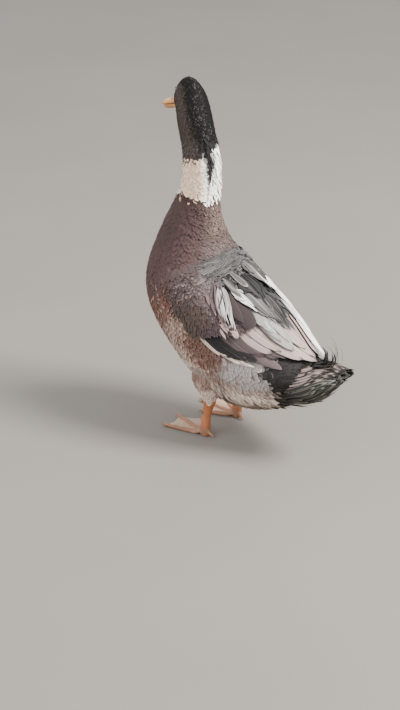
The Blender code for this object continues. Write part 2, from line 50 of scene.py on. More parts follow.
HEAD_TURN, TURN_AXIS_FORWARD = -31, 0.047
EYE_RADIUS, EYE_STATION, EYE_ANGLE = 0.0054, 14.55, 66
EYE_BELOW_SKIN, EYE_PUSHED_OUT, SOCKET_GAP = 0.0062, 0.0012, 0.0002
THIGH_COAT = 0.0015
SIDES = {"left": 1, "right": -1}

Station = namedtuple("Station", "forward height pitch above below half_width turn narrow", defaults=[0, 0])

# Rings across the bird from the root of the tail to the face: where each is, how far the bird's axis rises
# there, its reach to the back and to the belly, its half width, its share of the head's turn, and how much
# slimmer it is towards the back
BODY = {
    "tail_root": Station(-0.138, 0.110, 20, 0.030, 0.037, 0.030),
    "rump": Station(-0.112, 0.112, 24, 0.044, 0.057, 0.050),
    "abdomen": Station(-0.074, 0.120, 32, 0.058, 0.079, 0.065),
    "belly": Station(-0.032, 0.140, 40, 0.068, 0.089, 0.071),
    "middle": Station(0.005, 0.170, 44, 0.071, 0.088, 0.074),
    "breast": Station(0.037, 0.206, 53, 0.068, 0.086, 0.072),
    "crop": Station(0.052, 0.239, 67, 0.059, 0.076, 0.063),
    "neck_base": Station(0.054, 0.273, 80, 0.045, 0.055, 0.049),
    "neck_foot": Station(0.051, 0.305, 87, 0.0355, 0.040, 0.037),
    "collar": Station(0.043, 0.342, 93, 0.0275, 0.0275, 0.027),
    "neck_middle": Station(0.040, 0.378, 90, 0.0252, 0.0252, 0.0250, 0.1),
    "neck_top": Station(0.044, 0.409, 84, 0.0240, 0.0246, 0.0240, 0.35),
    "nape": Station(0.052, 0.434, 74, 0.0226, 0.0246, 0.0240, 0.75, 0.06),
    "occiput": Station(0.0645, 0.4545, 50, 0.0203, 0.0215, 0.0224, 1, 0.16),
    "crown": Station(0.0790, 0.4650, 13, 0.0228, 0.0215, 0.0200, 1, 0.28),
    "brow": Station(0.0920, 0.4585, -21, 0.0174, 0.0184, 0.0158, 1, 0.16),
    "bill_base": Station(0.1030, 0.4465, -22, 0.0114, 0.0100, 0.0114, 1),
}

# Rings down a thigh from inside the belly to the hock
THIGH = {
    "hip": Station(-0.0040, 0.112, -90, 0.024, 0.024, 0.024),
    "upper": Station(-0.0045, 0.094, -90, 0.024, 0.024, 0.024),
    "middle": Station(-0.0050, 0.080, -90, 0.0200, 0.0200, 0.0200),
    "lower": Station(-0.0055, 0.068, -90, 0.0135, 0.0135, 0.0135),
    "hock": Station(-0.0060, 0.0583, -90, 0.0088, 0.0088, 0.0088),
}
LEGS = {"left": 0.0405, "right": -0.0325}


def unit(vectors):
    """Vectors divided by their length."""
    return vectors / np.linalg.norm(vectors, axis=-1, keepdims=True)


def turned(vectors, angle):
    """Vectors turned about the vertical: (x cos - y sin, x sin + y cos, z), the angle in radians."""
    x, y, z = vectors[..., 0], vectors[..., 1], vectors[..., 2]
    return np.stack([x * np.cos(angle) - y * np.sin(angle), x * np.sin(angle) + y * np.cos(angle), z], -1)


def natural_spline(knots, values, at):
    """The cubic spline through (knots, values) that is straight at both ends, read at the places given."""
    count, step = len(knots), np.diff(knots)
    slope = np.diff(values, axis=0) / step[:, None]
    system, right = np.eye(count), np.zeros_like(values)
    for i in range(1, count - 1):
        system[i, i - 1 : i + 2] = step[i - 1], 2 * (step[i - 1] + step[i]), step[i]
        right[i] = 6 * (slope[i] - slope[i - 1])
    bend = np.linalg.solve(system, right)
    i = np.clip(np.searchsorted(knots, at, side="right") - 1, 0, count - 2)
    along = (at - knots[i])[..., None]
    linear = slope[i] - step[i][..., None] * (2 * bend[i] + bend[i + 1]) / 6
    cubic = (bend[i + 1] - bend[i]) / (6 * step[i][..., None])
    return values[i] + along * linear + along**2 * bend[i] / 2 + along**3 * cubic


class Form:
    """A surface through rings set across a bent line. A place on it is a station number and an angle round
    the ring in degrees, from the back and positive to the bird's left:
    centre + back * reach * cos(angle) + left * half_width * (1 - narrow * cos(angle)) * sin(angle)."""

    shift = np.zeros(3)

    def __init__(self, stations, across=0.0):
        self.values = np.array(list(stations.values()), float)
        self.knots = np.arange(len(stations), dtype=float)
        self.across = across

    def frame(self, station):
        """Centre, the three directions and the reaches at a station, all read from the splines: the head's
        share of the turn is taken about an upright axis through the neck."""
        v = natural_spline(self.knots, self.values, np.asarray(station, float))
        pitch, turn = np.radians(v[..., 2]), np.radians(v[..., 6] * HEAD_TURN)
        zero = np.zeros_like(pitch)
        axis = np.array([TURN_AXIS_FORWARD, 0, 0])
        centre = np.stack([v[..., 0], zero + self.across, v[..., 1]], -1)
        centre = turned(centre - axis, turn) + axis + self.shift
        tangent = turned(np.stack([np.cos(pitch), zero, np.sin(pitch)], -1), turn)
        back = turned(np.stack([-np.sin(pitch), zero, np.cos(pitch)], -1), turn)
        left = turned(np.stack([zero, zero + 1, zero], -1), turn)
        return centre, tangent, back, left, v[..., 3], v[..., 4], v[..., 5], v[..., 7]

    def point(self, station, angle, lift=0.0):
        """The place on the surface, with reach and half width both greater by the lift."""
        station, angle, lift = np.broadcast_arrays(np.asarray(station, float), angle, lift)
        centre, _, back, left, above, below, half_width, narrow = self.frame(station)
        angle = np.radians(angle)
        reach = np.where(np.cos(angle) > 0, above, below) + lift
        width = half_width * (1 - narrow * np.cos(angle)) + lift
        return centre + back * (reach * np.cos(angle))[..., None] + left * (width * np.sin(angle))[..., None]

    def outward(self, station, angle):
        """Square to the surface: the cross product of its two slopes, turned away from the middle line."""
        along = self.point(station + 0.02, angle) - self.point(station - 0.02, angle)
        around = self.point(station, angle + 1) - self.point(station, angle - 1)
        square = unit(np.cross(around, along))
        inside = self.frame(np.broadcast_to(station, square.shape[:-1]))[0]
        side = ((self.point(station, angle) - inside) * square).sum(-1, keepdims=True)
        return square * np.where(side < 0, -1, 1)


body = Form(BODY)
thighs = {word: Form(THIGH, across) for word, across in LEGS.items()}


def eye_centre(side):
    """The eye's middle: on the ring at the eye's station and angle, below the skin, and then pushed out
    along the line that joins both eyes."""
    centre, _, back, left, _, _, half_width, _ = body.frame(EYE_STATION)
    angle, reach = np.radians(EYE_ANGLE), half_width - EYE_BELOW_SKIN
    across = left * side * reach * np.sin(angle)
    return centre + back * reach * np.cos(angle) + across + unit(across) * EYE_PUSHED_OUT


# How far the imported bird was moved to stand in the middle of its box, read from its left eye
low, high = (np.array(corner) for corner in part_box("eye_left"))
Form.shift = (low + high) / 2 - eye_centre(1)
Form.shift[1:] = 0


def ramp(value, low, high):
    """0 below low, 1 above high and smooth between: x * x * (3 - 2x)."""
    x = np.clip((value - low) / (high - low), 0, 1)
    return x * x * (3 - 2 * x)


def fall(value, low, high):
    """1 below low, 0 above high: 1 - ramp."""
    return 1 - ramp(value, low, high)


def paint(red, green, blue, strength=0.6):
    """A pigment's linear colour from its 0 to 255 screen values under the scene's lights, which lift it."""
    c = np.array([red, green, blue]) / 255
    return strength * np.where(c < 0.04045, c / 12.92, ((c + 0.055) / 1.055) ** 2.4)


def over(base, colour, mask):
    """base where mask is 0, colour where it is 1: base + (colour - base) * mask."""
    return base + (np.asarray(colour) - base) * np.asarray(mask)[..., None]


# HOOD_GLINT is a painted highlight: the pale grey of light glinting on the hood's feathers
HOOD, HOOD_EDGE, HOOD_GLINT = paint(20, 18, 17), paint(38, 35, 32), paint(120, 120, 114)
HOOD_BROWN = paint(84, 73, 68)
COLLAR_WHITE, COLLAR_BEIGE = np.array([0.94, 0.92, 0.84]), paint(255, 216, 178)
CLARET, CLARET_EDGE = paint(80, 54, 51), paint(106, 80, 74)
RUFF, RUFF_EDGE = paint(88, 68, 61), paint(164, 144, 126)
MAUVE, MAUVE_EDGE = paint(80, 66, 64), paint(124, 108, 106)
SLATE, SLATE_EDGE = paint(50, 49, 48), paint(158, 154, 144)
RUFOUS, RUFOUS_EDGE = paint(106, 66, 54), paint(160, 122, 104)
SPOT, SPOT_EDGE = paint(166, 134, 118), paint(214, 190, 172)
FLANK, FLANK_EDGE = paint(106, 72, 60), paint(158, 124, 108)
CREAM, CREAM_EDGE = np.array([0.66, 0.55, 0.45]), np.array([0.78, 0.69, 0.59])
GREY, GREY_EDGE = paint(200, 188, 182), paint(234, 226, 220)
SOOT, SOOT_EDGE = paint(30, 24, 22), paint(62, 53, 49)

# Where the collar and the hood begin round the neck: angles and stations
COLLAR_LINE = [-180, -90, 0, 30, 57, 103, 180], [9.0, 8.9, 8.85, 8.75, 8.93, 9.0, 9.0]
HOOD_LINE = ([-180, -90, -16, 8, 22, 34, 44, 62, 90, 135, 180],
             [9.9, 10.4, 10.75, 10.7, 10.6, 10.78, 10.60, 10.30, 10.34, 10.15, 9.9])
Mark = namedtuple("Mark", "mask tint fringe edge bars", defaults=[0.0])


def marked(look, rows):
    """Lays marks over a look one after the other: each value goes to the mark's as far as its mask says."""
    tint, fringe, edge, bars = look
    for mark in rows:
        tint, fringe = over(tint, mark.tint, mark.mask), over(fringe, mark.fringe, mark.mask)
        edge, bars = edge + (mark.edge - edge) * mark.mask, bars + (mark.bars - bars) * mark.mask
    return tint, fringe, edge, bars


def marks(station, angle, chance):
    """Colours of the coat at a place: main colour, fringe colour, fringe width, strength of the fine bars.
    Each mask is a product of smooth steps in station and angle, and chance from 0 to 1 roughens them."""
    angle = (angle + 180) % 360 - 180
    s, a = station + (chance - 0.5) * 0.3, np.abs(angle) + (chance - 0.5) * 14
    other = (chance * 7.3) % 1
    narrow, mid, broad, widest = (angle + (chance - 0.5) * degrees for degrees in (14, 16, 20, 30))
    ruff = ramp(s, 6.9, 7.6) * fall(narrow, 12, 34) * ramp(widest, -165, -105)
    pale = over(over(SPOT, CREAM, ramp(a, 112, 136)), FLANK, 0.6 * (other > 0.76))
    collar_end, hood_end = np.interp(angle, *COLLAR_LINE), np.interp(angle, *HOOD_LINE)
    white = over(COLLAR_WHITE, COLLAR_BEIGE, ramp(angle, 32, 60) * fall(broad, 118, 168))
    nape = ((angle - 21 - 4 * np.sin(station * 9)) / (14 + 7 * ramp(station, 9.8, 10.6))) ** 4
    streak = ramp(station, 9.2, 9.5) * np.exp(-nape) * (other > 0.50 - 0.55 * ramp(station, 9.6, 10.3))
    hood = np.maximum(ramp(s, hood_end - 0.05, hood_end + 0.05), streak)
    tint, fringe, edge, bars = marked((CLARET, CLARET_EDGE, 0.16, 0.15), [
        Mark(ramp(s, 5.9, 6.6) * fall(a, 20, 44), over(RUFF, MAUVE, 0.6), over(RUFF_EDGE, MAUVE_EDGE, 0.6), 0.2),
        Mark(ramp(s, 6.6, 7.4), CLARET * 0.78, CLARET_EDGE * 0.85, 0.16, 0.15),
        Mark(ruff, RUFF, RUFF_EDGE, 0.22),
        Mark(fall(s, 5.6, 6.4) * fall(a, 72, 92), MAUVE * 1.15, MAUVE_EDGE, 0.14),
        Mark(fall(s, 5.7, 6.3) * fall(a, 72, 88) * (other > 0.8), MAUVE_EDGE, MAUVE_EDGE * 1.4, 0.2),
        Mark(fall(s, 5.9, 6.5) * fall(a, 34, 54), SLATE, SLATE_EDGE, 0.13),
        Mark(fall(s, 5.0, 5.8) * ramp(a, 74, 92), RUFOUS, RUFOUS_EDGE, 0.2),
        Mark(fall(s, 5.4, 6.2) * ramp(a, 84, 100) * (other > 0.84), RUFOUS * 1.3, SPOT_EDGE, 0.28),
        Mark(fall(s, 4.3, 5.0) * ramp(a, 84, 100), over(SPOT, RUFOUS, 0.35 * (other > 0.6)), SPOT_EDGE, 0.30),
        Mark(fall(s, 3.5, 4.3) * ramp(a, 90, 108), pale, over(SPOT_EDGE, CREAM_EDGE, ramp(a, 120, 150)), 0.30),
        Mark(fall(s, 1.9, 2.5) * ramp(a, 104, 122), CREAM, CREAM_EDGE, 0.3),
        Mark(ramp(s, 2.0, 2.4) * fall(s, 3.9, 4.4) * ramp(a, 70, 80) * fall(a, 102, 116), FLANK, FLANK_EDGE, 0.22),
        Mark(fall(s, 2.5, 2.9) * fall(a, 96, 112), GREY, GREY_EDGE, 0.22, 0.55),
        Mark(fall(s, 1.5, 2.0) * fall(a, 70, 88), SOOT, SOOT_EDGE, 0.12),
        Mark(fall(s, 0.9, 1.3) * fall(a, 96, 112), SOOT, SOOT_EDGE, 0.12),
        Mark(fall(s, 0.4, 0.8) * fall(a, 140, 156), SOOT, SOOT_EDGE, 0.12),
        Mark(ramp(s + (other - 0.5) * 0.3, collar_end - 0.06, collar_end + 0.06), white,
             over(white, COLLAR_WHITE, 0.3), 0.3),
        Mark(hood, over(HOOD, HOOD_BROWN, ramp(mid, 34, 72) * fall(mid, 128, 172)), HOOD_EDGE, 0.14),
    ])
    # Painted highlights: about a quarter of the hood's feathers towards its back, from the upper neck up, take a
    # wider pale grey fringe that stands for glints of light
    glint = hood * (other > 0.72) * fall(angle, 20, 45) * ramp(angle, -38, -12) * ramp(station, 10.4, 11.2)
    return tint, over(fringe, HOOD_GLINT, glint * 0.8), edge + 0.08 * glint, bars


# Depth of the coat over the skin: stations and metres
COAT_DEPTH = [0, 6, 9, 12, 13.5, 16], [0.0042, 0.0040, 0.0030, 0.0018, 0.0009, 0.0004]


def tube(rings):
    """A closed tube: rings of points joined in turn, and each end drawn to the middle of its ring."""
    count, sides, _ = rings.shape
    points = np.concatenate([rings.reshape(-1, 3), rings[:1].mean(1), rings[-1:].mean(1)])
    i, j = np.meshgrid(np.arange(count - 1), np.arange(sides), indexing="ij")
    a, b = i * sides + j, i * sides + (j + 1) % sides
    quads = np.stack([a, b, b + sides, a + sides], -1).reshape(-1, 4)
    j = np.arange(sides)
    start = np.stack([(j + 1) % sides, j, np.full(sides, count * sides)], -1)
    end = (count - 1) * sides
    stop = np.stack([end + j, end + (j + 1) % sides, np.full(sides, count * sides + 1)], -1)
    return points, quads.tolist() + start.tolist() + stop.tolist()


def in_scene(name, data):
    """A new object with this data, linked to the scene."""
    made = bpy.data.objects.new(name, data)
    bpy.context.scene.collection.objects.link(made)
    return made


def put(name, points, faces):
    """A smooth mesh object of these points and faces, with its faces pointing out."""
    mesh = bpy.data.meshes.new(name)
    mesh.from_pydata(np.asarray(points).tolist(), [], faces)
    work = bmesh.new()
    work.from_mesh(mesh)
    bmesh.ops.recalc_face_normals(work, faces=work.faces)
    if work.calc_volume(signed=True) < 0:
        bmesh.ops.reverse_faces(work, faces=work.faces)
    work.to_mesh(mesh)
    work.free()
    mesh.shade_smooth()
    return in_scene(name, mesh)


def applied(target):
    """The target with its modifiers worked into its mesh."""
    graph = bpy.context.evaluated_depsgraph_get()
    result = bpy.data.meshes.new_from_object(target.evaluated_get(graph))
    target.modifiers.clear()
    target.data = result
    result.shade_smooth()


def fused(target, tools, operation="UNION"):
    """The target after a Boolean with each closed tool, and the tools are then removed."""
    for tool in tools:
        modifier = target.modifiers.new("fuse", "BOOLEAN")
        modifier.operation, modifier.object, modifier.solver = operation, tool, "MANIFOLD"
    applied(target)
    for tool in tools:
        bpy.data.objects.remove(tool)


def ball(name, centre, axes, segments, rings):
    """A ball or egg: rings of radius sin(t) at height cos(t) up an axis, each point times the three half axes
    and added to the centre."""
    t = np.linspace(0.02, np.pi - 0.02, rings)[:, None]
    p = np.linspace(0, 2 * np.pi, segments, endpoint=False)[None, :]
    shape = np.stack([np.sin(t) * np.cos(p), np.sin(t) * np.sin(p), np.cos(t) + 0 * p], -1)
    return put(name, *tube(np.asarray(centre) + shape @ axes))


class Value:
    """A number from a material's nodes. Sums, differences and products of it add Math nodes."""

    def __init__(self, finish, socket):
        self.finish, self.socket = finish, socket

    def maths(self, operation, *others, clamp=False):
        """A Math node's result for this number and the others."""
        return self.finish.node("ShaderNodeMath", {"operation": operation, "use_clamp": clamp}, [self, *others])

    def __add__(self, other):
        return self.maths("ADD", other)

    def __sub__(self, other):
        return self.maths("SUBTRACT", other)

    def __rsub__(self, other):
        return self.finish.node("ShaderNodeMath", {"operation": "SUBTRACT"}, [other, self])

    def __mul__(self, other):
        return self.maths("MULTIPLY", other)

    __radd__ = __add__
    __rmul__ = __mul__

    def clamped(self):
        """The number held between 0 and 1."""
        return self.maths("ADD", 0.0, clamp=True)


class Finish:
    """A material: its nodes are added one by one, and its shader's sockets are set at the end."""

    def __init__(self, name):
        self.material = bpy.data.materials.new(name)
        self.material.use_nodes = True
        self.tree = self.material.node_tree
        self.shader = self.tree.nodes["Principled BSDF"]

    def node(self, kind, settings=None, inputs=(), output=0):
        """A node of a kind, with its settings made first, then its inputs by place or name."""
        made = self.tree.nodes.new(kind)
        for key, value in (settings or {}).items():
            setattr(made, key, value)
        for key, value in inputs.items() if isinstance(inputs, dict) else enumerate(inputs):
            self.set(made.inputs[key], value)
        return Value(self, made.outputs[output])

    def set(self, socket, value):
        """Links a value to a socket, or sets the socket to a number or a colour."""
        if isinstance(value, Value):
            self.tree.links.new(value.socket, socket)
        elif np.ndim(value):
            socket.default_value = [*value, 1.0][: len(socket.default_value)]
        else:
            socket.default_value = value

    def attribute(self, name, output="Color"):
        """What is stored on the piece's points under a name."""
        return self.node("ShaderNodeAttribute", {"attribute_name": name}, (), output)

    def parts(self, vector):
        """The three numbers of a vector."""
        made = self.node("ShaderNodeSeparateXYZ", None, [vector])
        return [Value(self, socket) for socket in made.socket.node.outputs]

    def mix(self, factor, first, second, blend="MIX"):
        """first where factor is 0 and second where it is 1, as colours."""
        return self.node("ShaderNodeMix", {"data_type": "RGBA", "blend_type": blend},
                         {0: factor, 6: first, 7: second}, 2)

    def place(self):
        """The place in the object's own coordinates."""
        return self.node("ShaderNodeTexCoord", None, (), "Object")

    def noise(self, scale, detail, vector=None):
        """A cloudy number from 0 to 1, with so many waves a metre."""
        inputs = {"Vector": vector or self.place(), "Scale": scale, "Detail": detail}
        return self.node("ShaderNodeTexNoise", None, inputs)

    def bump(self, height, distance, strength=0.5):
        """The surface's direction, tipped by a height."""
        return self.node("ShaderNodeBump", None, {"Height": height, "Distance": distance, "Strength": strength})

    def done(self, **sockets):
        """The finished material, its shader's sockets named with _ for a space."""
        for key, value in sockets.items():
            self.set(self.shader.inputs[key.replace("_", " ")], value)
        return self.material


def dressed(piece, material, slot, *nodes):
    """Gives a piece its material and its body, and hides the imported parts of the nodes that it stands for. The
    slot is not used.
    """
    piece.data.materials.clear()
    piece.data.materials.append(material)
    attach(piece, "root")
    if nodes:
        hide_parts(*nodes)


def store(mesh, name, values):
    """Stores a colour (four numbers) or a vector (three) on each point."""
    kind, key = ("FLOAT_COLOR", "color") if values.shape[1] == 4 else ("FLOAT_VECTOR", "vector")
    made = mesh.attributes.new(name, kind, "POINT")
    made.data.foreach_set(key, np.ascontiguousarray(values, np.float32).ravel())


def spots_of(mesh):
    """The mesh's points as an array."""
    spots = np.empty(len(mesh.vertices) * 3)
    mesh.vertices.foreach_get("co", spots)
    return spots.reshape(-1, 3)


stations = np.concatenate([[0.02], np.linspace(0.1, 12, 150), np.linspace(12.1, 15.97, 60)])[:, None]
around = np.linspace(-180, 180, 96, endpoint=False)
skin = put("skin", *tube(body.point(stations, around, -np.interp(stations, *COAT_DEPTH))))
down = np.linspace(0, 4, 24)[:, None]
fused(skin, [put("thigh", *tube(form.point(down, around[::3], -THIGH_COAT))) for form in thighs.values()])
socket_axes = np.eye(3) * (EYE_RADIUS + SOCKET_GAP)
fused(skin, [ball("socket", eye_centre(side), socket_axes, 32, 24) for side in SIDES.values()], "DIFFERENCE")

# Each point of the skin takes the marks of the nearest place of a grid over the body: the least of
# place squared less twice place times point
DULLED, GRID_DEPTH, BLOCKS = 0.6, 0.003, 40
places = np.stack(np.meshgrid(np.linspace(0, 16, 220), np.linspace(-180, 175, 72), indexing="ij"), -1)
places = places.reshape(-1, 2)
grid = body.point(places[:, 0], places[:, 1], -GRID_DEPTH)
squares = (grid**2).sum(1)
which = np.concatenate([(squares - 2 * block @ grid.T).argmin(1)
                        for block in np.array_split(spots_of(skin.data), BLOCKS)])
under = marks(places[which, 0], places[which, 1], np.full(len(which), 0.5))[0] * DULLED
store(skin.data, "tint", np.c_[under, np.ones(len(under))])

hide = Finish("hide")
wisps = hide.noise(700, 3)
hide_colour = hide.mix(wisps * 0.5, hide.attribute("tint"), [0.02, 0.018, 0.016])
hide_material = hide.done(Base_Color=hide_colour, Normal=hide.bump(wisps, 0.0004, 0.6), Roughness=0.85)
dressed(skin, hide_material, "plumage", "torso", "neck", "head", "thigh_left", "thigh_right")

# The small feathers of the body: overlapping vanes of keratin in staggered rows, each rooted in the skin and
# lying back towards the tail, long on flank and breast, short on the neck and smallest on the face.
# Their looks are stored on their points: main colour, fringe, place in the feather, and its size.

VANE = 0.00022
# One seeded generator scatters every feather, so that each run gives the same bird
draw = np.random.default_rng(11)
# Outlines of a feather: shares of its length, and its half width there
TIPS = {
    "round": ([0, 0.12, 0.4, 0.7, 0.86, 0.95, 1], [0.30, 0.62, 0.96, 1, 0.86, 0.60, 0.16]),
    "pointed": ([0, 0.15, 0.45, 0.7, 0.88, 1], [0.35, 0.75, 1, 0.92, 0.55, 0.08]),
    "blade": ([0, 0.08, 0.5, 0.8, 0.93, 1], [0.35, 0.8, 1, 0.9, 0.6, 0.14]),
}


def lay(form, start, stop, lift, half_width, look, rows, columns, arch, tilt, tip, thickness=VANE, bow=0.0):
    """Feathers laid over a form, as one array. Each has a middle line from its start place to its stop
    place, at a height that goes from lift[0] to lift[1] as share ** 0.7, and a width along it read from
    TIPS. Across it the vane is arched, height = -arch * width * v * v, and tilted. One more point in each
    ring, under the shaft, makes it a closed thin solid."""
    start, stop, lift = (np.asarray(x, float) for x in (start, stop, lift))
    share = np.linspace(0, 1, rows)
    share = share * (1.25 - 0.25 * share)
    station = start[:, :1] + (stop - start)[:, :1] * share
    angle = start[:, 1:] + (stop - start)[:, 1:] * share
    angle = angle + np.reshape(bow, (-1, 1)) * np.sin(np.pi * share)
    height = lift[:, :1] + (lift[:, 1:] - lift[:, :1]) * share**0.7
    line = form.point(station, angle, height)
    normals = form.outward(station, angle)
    along = unit(np.gradient(line, axis=1))
    across = unit(np.cross(normals, along))
    normals = np.cross(along, across)
    v = np.linspace(-1, 1, columns)
    width = np.interp(share, *TIPS[tip]) * np.reshape(half_width, (-1, 1))
    reach = width[..., None] * v
    rise = reach * np.tan(np.radians(np.reshape(tilt, (-1, 1, 1)))) - arch * width[..., None] * v**2
    top = line[:, :, None] + across[:, :, None] * reach[..., None] + normals[:, :, None] * rise[..., None]
    thin = thickness * np.interp(share, [0, 0.7, 1], [1, 0.8, 0.4])
    under = line - normals * thin[None, :, None]
    points = np.concatenate([top, under[:, :, None]], 2)
    length = np.linalg.norm(np.diff(line, axis=1), axis=-1).sum(1)
    return dict(points=points, share=share, v=v, look=look, root=start, length=length,
                half_width=np.broadcast_to(half_width, length.shape))


# Each feather's patch of the bake map, as a share of the map
PATCH = 0.003


def feather_corners(rows, columns):
    """The corners, face sizes and bake patch of one feather: its upper faces lie in the left part of the
    patch, its lower faces in the right part and each end in a small loop of its own."""
    ring = columns + 1
    i, j = np.meshgrid(np.arange(rows - 1), np.arange(ring), indexing="ij")
    a, b = i * ring + j, i * ring + (j + 1) % ring
    quads = np.stack([a, a + ring, b + ring, b], -1).reshape(-1, 4)
    share = np.linspace(0, 1, rows)[quads // ring]
    spot = quads % ring
    upper = (j.reshape(-1, 1) < columns - 1) & np.ones((1, 4), bool)
    side = np.where(upper, 0.6 * spot / (columns - 1) - 0.5,
                    0.1 + 0.4 * np.where(spot == columns, 0.5, spot / (columns - 1)))
    patch = np.stack([side, share - 0.5], -1).reshape(-1, 2)
    turn = 2 * np.pi * np.arange(ring) / ring
    loop = np.stack([np.cos(turn), np.sin(turn)], -1) * 0.06
    corners = np.concatenate([quads.ravel(), np.arange(ring), (rows - 1) * ring + np.arange(ring)[::-1]])
    patch = np.concatenate([patch, loop + [0.3, -0.5], loop + [-0.2, 0.5]])
    sizes = np.r_[np.full(len(quads), 4), ring, ring]
    return corners, sizes, patch * PATCH


def coat(name, batches, material, slot, *nodes):
    """One mesh of many feathers, with their looks on its points and the bake map OFBake, where each feather
    has its own patch at its root's place, station up and angle across."""
    roots = np.concatenate([batch["root"] for batch in batches])
    low, high = roots.min(0), roots.max(0)
    points, corners, sizes, maps, base = [], [], [], [], 0
    stores = {"tint": [], "fringe": [], "place": [], "size": []}
    for batch in batches:
        count, rows, ring, _ = batch["points"].shape
        corner, size, patch = feather_corners(rows, ring - 1)
        points.append(batch["points"].reshape(-1, 3))
        corners.append((corner[None, :] + base + (np.arange(count) * rows * ring)[:, None]).ravel())
        sizes.append(np.tile(size, count))
        middle = 0.01 + 0.98 * (batch["root"] - low) / (high - low + 1e-9)
        maps.append((patch[None] + middle[:, None, ::-1]).reshape(-1, 2))
        base += count * rows * ring
        millimetres = np.stack([batch["length"], batch["half_width"], draw.uniform(0, 0.1, count)], -1) * 1000
        *look, (tip_colour, tip_shares) = batch["look"]
        tint, fringe, edge, bars, shaft, size = (np.reshape(x, (count, 1, 1, -1)) for x in (*look, millimetres))
        tint = over(tint, tip_colour, ramp(batch["share"], *tip_shares)[:, None])
        share, across = batch["share"][:, None, None], np.r_[batch["v"], 0.0][:, None]
        for key, values in (("tint", [tint, shaft]), ("fringe", [fringe, edge]), ("place", [share, across, bars]),
                            ("size", [size])):
            full = np.concatenate([value * np.ones((count, rows, ring, 1)) for value in values], -1)
            stores[key].append(full.reshape(-1, full.shape[-1]))
    points, corners, sizes, maps = (np.concatenate(x) for x in (points, corners, sizes, maps))
    mesh = bpy.data.meshes.new(name)
    mesh.vertices.add(len(points))
    mesh.vertices.foreach_set("co", points.astype(np.float32).ravel())
    mesh.loops.add(len(corners))
    mesh.loops.foreach_set("vertex_index", corners.astype(np.int32))
    mesh.polygons.add(len(sizes))
    mesh.polygons.foreach_set("loop_start", np.r_[0, np.cumsum(sizes)[:-1]].astype(np.int32))
    mesh.update(calc_edges=True)
    for key, values in stores.items():
        store(mesh, key, np.concatenate(values))
    mesh.uv_layers.new(name="OFBake").uv.foreach_set("vector", maps.astype(np.float32).ravel())
    mesh.shade_smooth()
    mesh.set_sharp_from_angle(angle=np.radians(70))
    dressed(in_scene(name, mesh), material, slot, *nodes)


def plumage(name, roughness, gloss=0.35, crisp=3.2, ragged=0.5, pitch=4.2):
    """Feather vanes: the main colour, a paler fringe where the edge is near, a darker shaft, fine wavy bars,
    and barbs that slant from the shaft as a fine ridged bump."""
    vane = Finish(name)
    share, side, barring = vane.parts(vane.attribute("place", "Vector"))
    length, half, chance = vane.parts(vane.attribute("size", "Vector"))
    down = share * length
    away = side.maths("ABSOLUTE")
    slant = down - away * half * 0.9
    grain = vane.noise(0.9, 3, vane.node("ShaderNodeCombineXYZ", None, [slant * 1.6, side * 0.8, chance]))
    near = (1 - away).maths("MINIMUM", (1 - share) * 1.7)
    fringe = ((vane.attribute("fringe", "Alpha") * 1.3 - near + (grain - 0.5) * ragged) * crisp).clamped()
    colour = vane.mix(fringe, vane.attribute("tint"), vane.attribute("fringe"))
    wave = (down * pitch + grain * (2.6 + pitch) + chance * 0.3).maths("SINE")
    colour = vane.mix((wave * 0.5 + 0.5) * barring * (1 - fringe * 0.5) * 0.75, colour, [0.030, 0.025, 0.026])
    shaft = (1 - away * 9.0).maths("MAXIMUM", 0.0) * vane.attribute("tint", "Alpha")
    colour = vane.mix(shaft, colour, [0.02, 0.016, 0.015])
    shade = vane.mix((grain - 0.5) * 0.5 + 0.5, [0.0, 0.0, 0.0], [1.0, 1.0, 1.0])
    barbs = (slant * 9.0).maths("SINE") * 0.5 + grain
    return vane.done(Base_Color=vane.mix(0.55, colour, shade, "OVERLAY"), Normal=vane.bump(barbs, 0.00012),
                     Roughness=roughness, Specular_IOR_Level=gloss)


NO_TIP = (0.0, 0.0, 0.0), (8, 9)


def looks(count, tint, fringe, edge, bars=0.0, shaft=0.25, spread=0.07, tip=NO_TIP):
    """A batch's looks, each feather a little lighter or darker than the next. A tip is a colour and the
    shares of the length between which the vane takes it on."""
    vary = 1 + draw.normal(0, spread, count)[:, None]
    colours = (np.clip(colour * vary, 0, 1) for colour in (tint, fringe))
    return *colours, *(np.broadcast_to(x, count) for x in (edge, bars, shaft)), tip


def rows_over(form, first, last, at, spacing, across_spacing):
    """Staggered roots over a form: rows at equal steps along its sides from one station to another, and in
    each row places at equal steps of the way round. Both steps are read at the stations of the list at.
    Gives station, angle, station step and width for each."""
    fine = np.linspace(first, last, 400)
    way = np.linalg.norm(np.diff(form.point(fine, 90), axis=0), axis=1)
    way = np.r_[0, np.cumsum(way / np.interp((fine[1:] + fine[:-1]) / 2, at, spacing))]
    rows = np.interp(np.arange(0.5, way[-1]), way, fine)
    round_it = np.linspace(-180, 180, 181)
    found = []
    for row, (station, step) in enumerate(zip(rows, np.gradient(rows))):
        length = np.linalg.norm(np.diff(form.point(station, round_it), axis=0), axis=1)
        length = np.r_[0, np.cumsum(length)]
        count = max(int(length[-1] / np.interp(station, at, across_spacing)), 6)
        angle = np.interp((np.arange(count) + 0.5 * (row % 2)) / count * length[-1], length, round_it)
        found.append(np.c_[np.full(count, station), angle, np.full(count, abs(step)),
                           np.full(count, length[-1] / count)])
    return np.concatenate(found)


